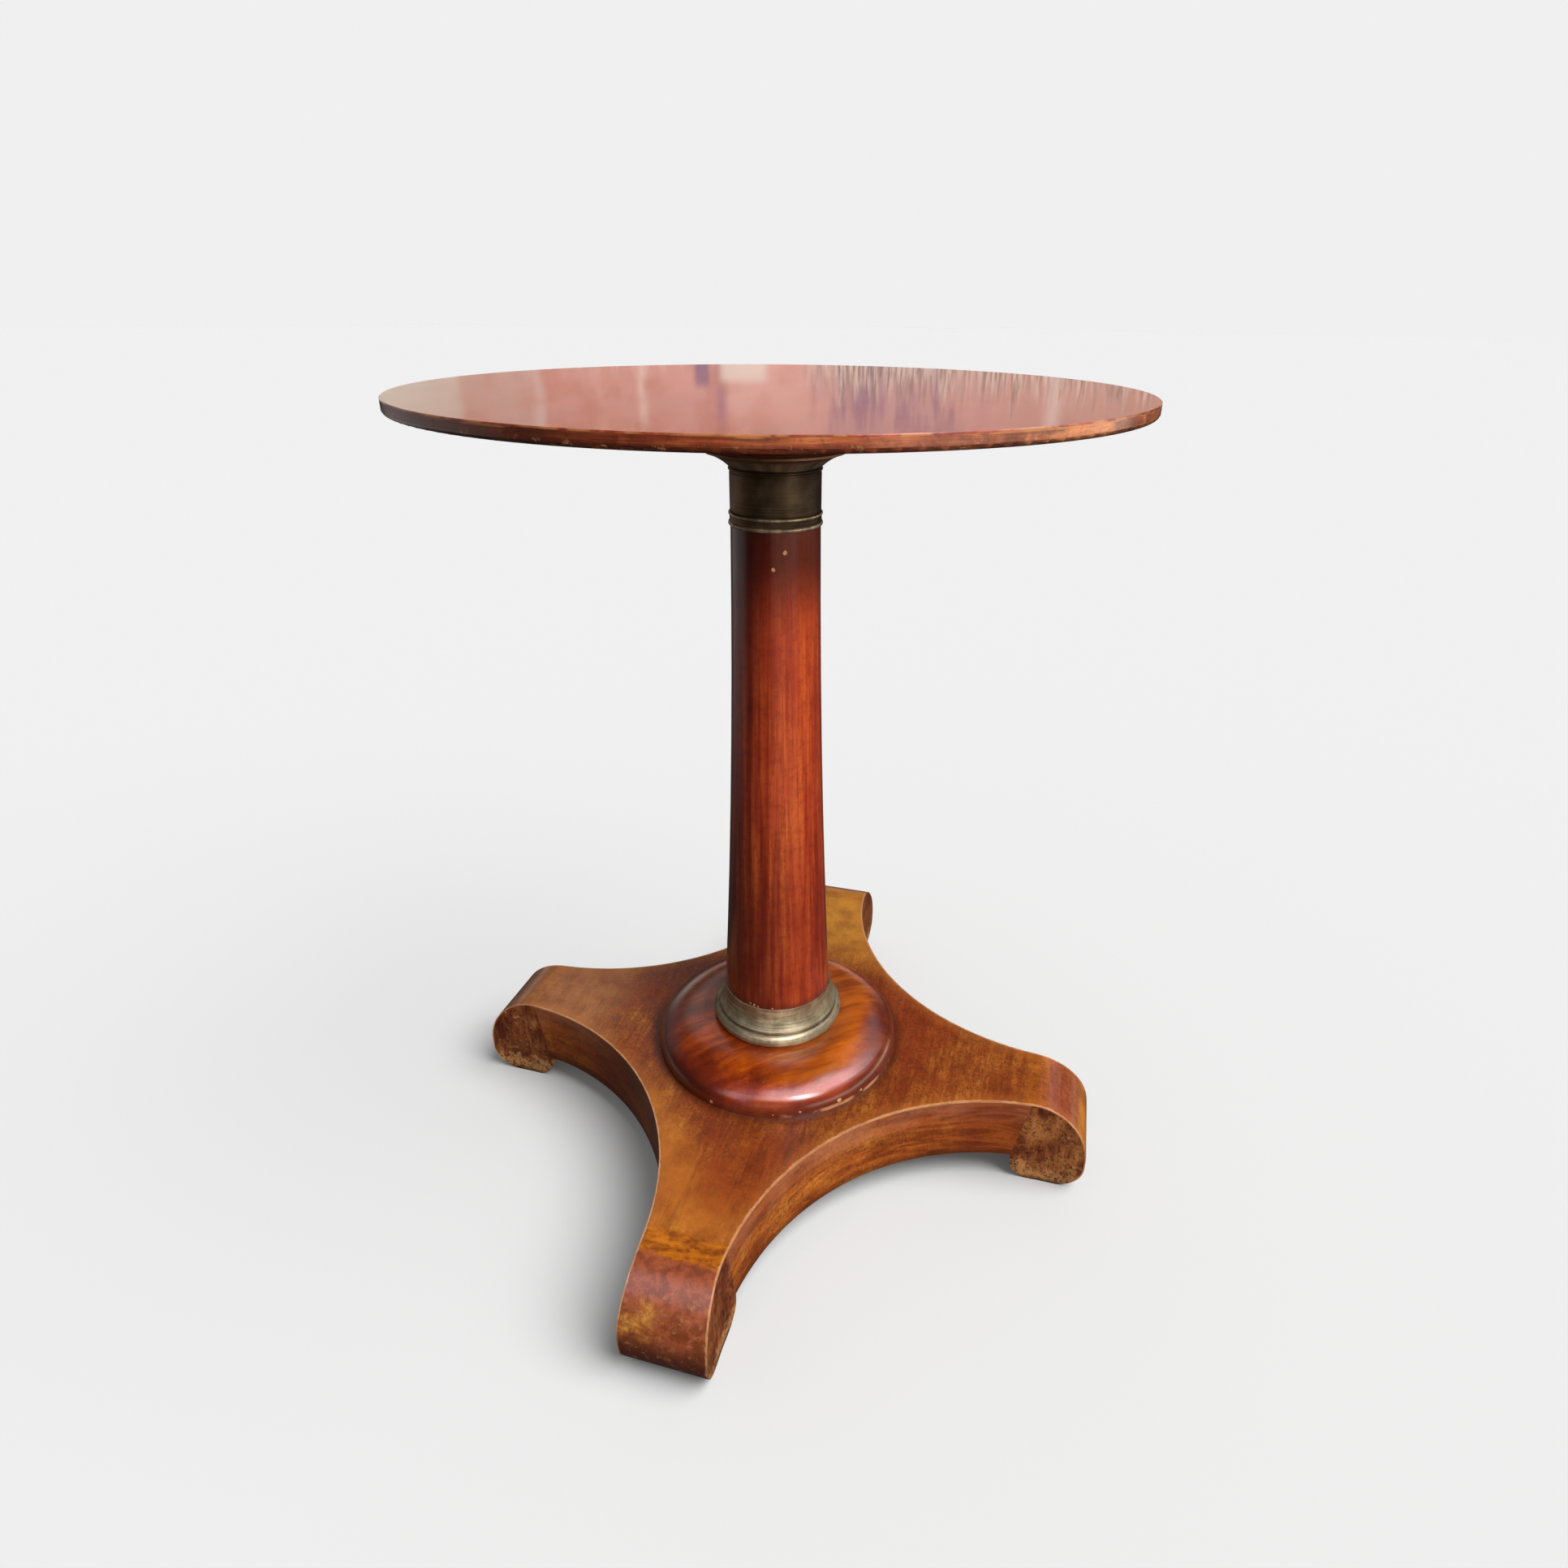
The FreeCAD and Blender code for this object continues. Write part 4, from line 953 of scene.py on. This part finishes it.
def make_far_wall(sky):
    """The wall low over the horizon, which the polished top mirrors: its colour becomes the sky's
    colour so far, and its share in each direction is returned. Here the angles are in degrees, and
    run to the right as the camera sees them, where the azimuths run to the left."""
    past, up = sky.angles(BEHIND)
    aside = sky.product(past, -math.degrees(1))
    rise = sky.product(up, math.degrees(1))
    ripple = sky.drawn_noise((aside, 0.9), (rise, 0.16), 2.0, detail=4.0, roughness=0.65)
    lay_wall_bands(sky, aside)
    mottle_wall(sky, aside, rise, ripple)
    streak_wall(sky, aside, rise, ripple)
    sky.stain(CREAM, sky.fade(rise, 4.5, 4.0), sky.between(aside, -3.3, -2.7, -0.8, -0.2), 0.8)
    sky.stain(BRUISE, sky.fade(rise, 4.8, 4.2), sky.between(aside, -4.6, -4.2, -3.8, -3.4), 0.85)
    return sky.product(sky.fade(sky.size_of(aside), 40.0, WALL_REACH), sky.fade(rise, -2.0, 0.5),
                       sky.fade(rise, 15.0, 9.0))


def make_sky():
    """The even backdrop that the camera sees, a dim fill, and a room for the polish to mirror."""
    sky = Sky("studio_sky")
    wall_share = make_far_wall(sky)
    room = sky.mix(wall_share, ROOM_DARK, sky.colour)
    for azimuth, elevation, half_width, half_height, border, colour, brightness in WINDOWS.values():
        share = sky.window(azimuth, elevation, half_width, half_height, border)
        glow = [part * brightness for part in colour]
        room = sky.mix(1.0, room, sky.mix(share, grey(0.0), (*glow, 1.0)), "ADD")
    rays = sky.add("ShaderNodeLightPath").outputs
    seen = sky.mix(rays["Is Glossy Ray"], grey(TABLE_FILL), room)
    seen = sky.mix(rays["Is Camera Ray"], seen, grey(BACKDROP_LIGHT))
    sky.feed(sky.tree.nodes["Background"].inputs["Color"], seen)


# Lamps and camera

# Each soft panel faces the table: azimuth, elevation, width, height, power and colour
PANELS = {
    "key_light": (60, 26, 1.3, 1.3, 66, (1.0, 0.97, 0.93)),
    "front_light": (5, 42, 1.2, 1.0, 7, (1.0, 0.96, 0.94)),
    "back_light": (205, 22, 1.3, 1.3, 14, (1.0, 0.96, 0.94)),
}
PANEL_DISTANCE = 2.2
AIM_HEIGHT = 0.3

# Each soft sun: azimuth, elevation, strength and spread
TOP_LIGHT = (30, 75, 0.65, 40)
FLOOR_DOME = (0, 90, 1.70, 170)
FLOOR_KEY = (84, 57, 6.7, 46)
FLOOR_FAR_KEY = (86, 48, 1.52, 46)


def direction(azimuth, elevation):
    """A way from the table, as degrees from the front towards the right, and above the floor."""
    turn = math.radians(azimuth)
    rise = math.radians(elevation)
    return Vector((math.sin(turn) * math.cos(rise), -math.cos(turn) * math.cos(rise), math.sin(rise)))


def group_of(name, members):
    """A collection of objects that a lamp can be kept to."""
    group = bpy.data.collections.new(name)
    for member in members:
        group.objects.link(member)
    return group


def lit_only(lamp, receivers, blockers=()):
    """Keeps a lamp's light to some objects, and its shadows to others."""
    lamp.light_linking.receiver_collection = group_of(lamp.name + "_receivers", receivers)
    if blockers:
        lamp.light_linking.blocker_collection = group_of(lamp.name + "_blockers", blockers)


def make_sun(name, azimuth, elevation, strength, spread):
    """A soft sun, whose light falls evenly."""
    data = bpy.data.lights.new(name, "SUN")
    data.energy = strength
    data.angle = math.radians(spread)
    lamp = add_object(name, data)
    lamp.rotation_euler = direction(azimuth, elevation).to_track_quat("Z", "Y").to_euler()
    lamp.visible_glossy = False
    return lamp


def make_panel(name, azimuth, elevation, width, height, power, colour):
    """A soft panel of light. The polish mirrors the room's windows in its stead."""
    data = bpy.data.lights.new(name, "AREA")
    data.shape = "RECTANGLE"
    data.size = width
    data.size_y = height
    data.energy = power
    data.color = colour
    lamp = add_object(name, data)
    way = direction(azimuth, elevation)
    lamp.location = Vector((0, 0, AIM_HEIGHT)) + way * PANEL_DISTANCE
    lamp.rotation_euler = way.to_track_quat("Z", "Y").to_euler()
    lamp.visible_camera = False
    lamp.visible_glossy = False
    return lamp


def make_camera():
    """The photograph's own camera, turned and rolled as the photographer held it."""
    data = bpy.data.cameras.new("photo_camera")
    data.sensor_width = SENSOR_WIDTH
    data.lens = FOCAL_PIXELS / PHOTO_WIDTH * SENSOR_WIDTH
    middle = PHOTO_WIDTH / 2
    data.shift_x = (middle - CENTRE_PIXEL_X) / PHOTO_WIDTH
    data.shift_y = (CENTRE_PIXEL_Y - middle) / PHOTO_WIDTH
    camera = add_object("photo_camera", data)
    turn = Matrix.Rotation(CAMERA_AZIMUTH - CAMERA_PAN, 4, "Z")
    tilt = Matrix.Rotation(math.pi / 2 - CAMERA_PITCH, 4, "X")
    roll = Matrix.Rotation(CAMERA_ROLL, 4, "Z")
    reach_x = CAMERA_REACH * math.sin(CAMERA_AZIMUTH)
    reach_y = -CAMERA_REACH * math.cos(CAMERA_AZIMUTH)
    place = Matrix.Translation((reach_x, reach_y, CAMERA_HEIGHT))
    camera.matrix_world = place @ turn @ tilt @ roll
    bpy.context.scene.camera = camera


studio_floor = make_floor()
make_sky()
table_pieces = list(nodes.values())
# The top and the column cast no shadow of the floor's key light, as in the photograph
low_pieces = [node for name, node in nodes.items()
              if name.startswith(("foot", "plinth", "side", "torus", "base"))]
for panel_name, panel in PANELS.items():
    lit_only(make_panel(panel_name, *panel), table_pieces)
lit_only(make_sun("top_light", *TOP_LIGHT), table_pieces)
lit_only(make_sun("floor_dome", *FLOOR_DOME), [studio_floor])
lit_only(make_sun("floor_key", *FLOOR_KEY), [studio_floor], low_pieces)
lit_only(make_sun("floor_far_key", *FLOOR_FAR_KEY), [studio_floor])
make_camera()
bpy.context.scene.view_settings.view_transform = "Standard"
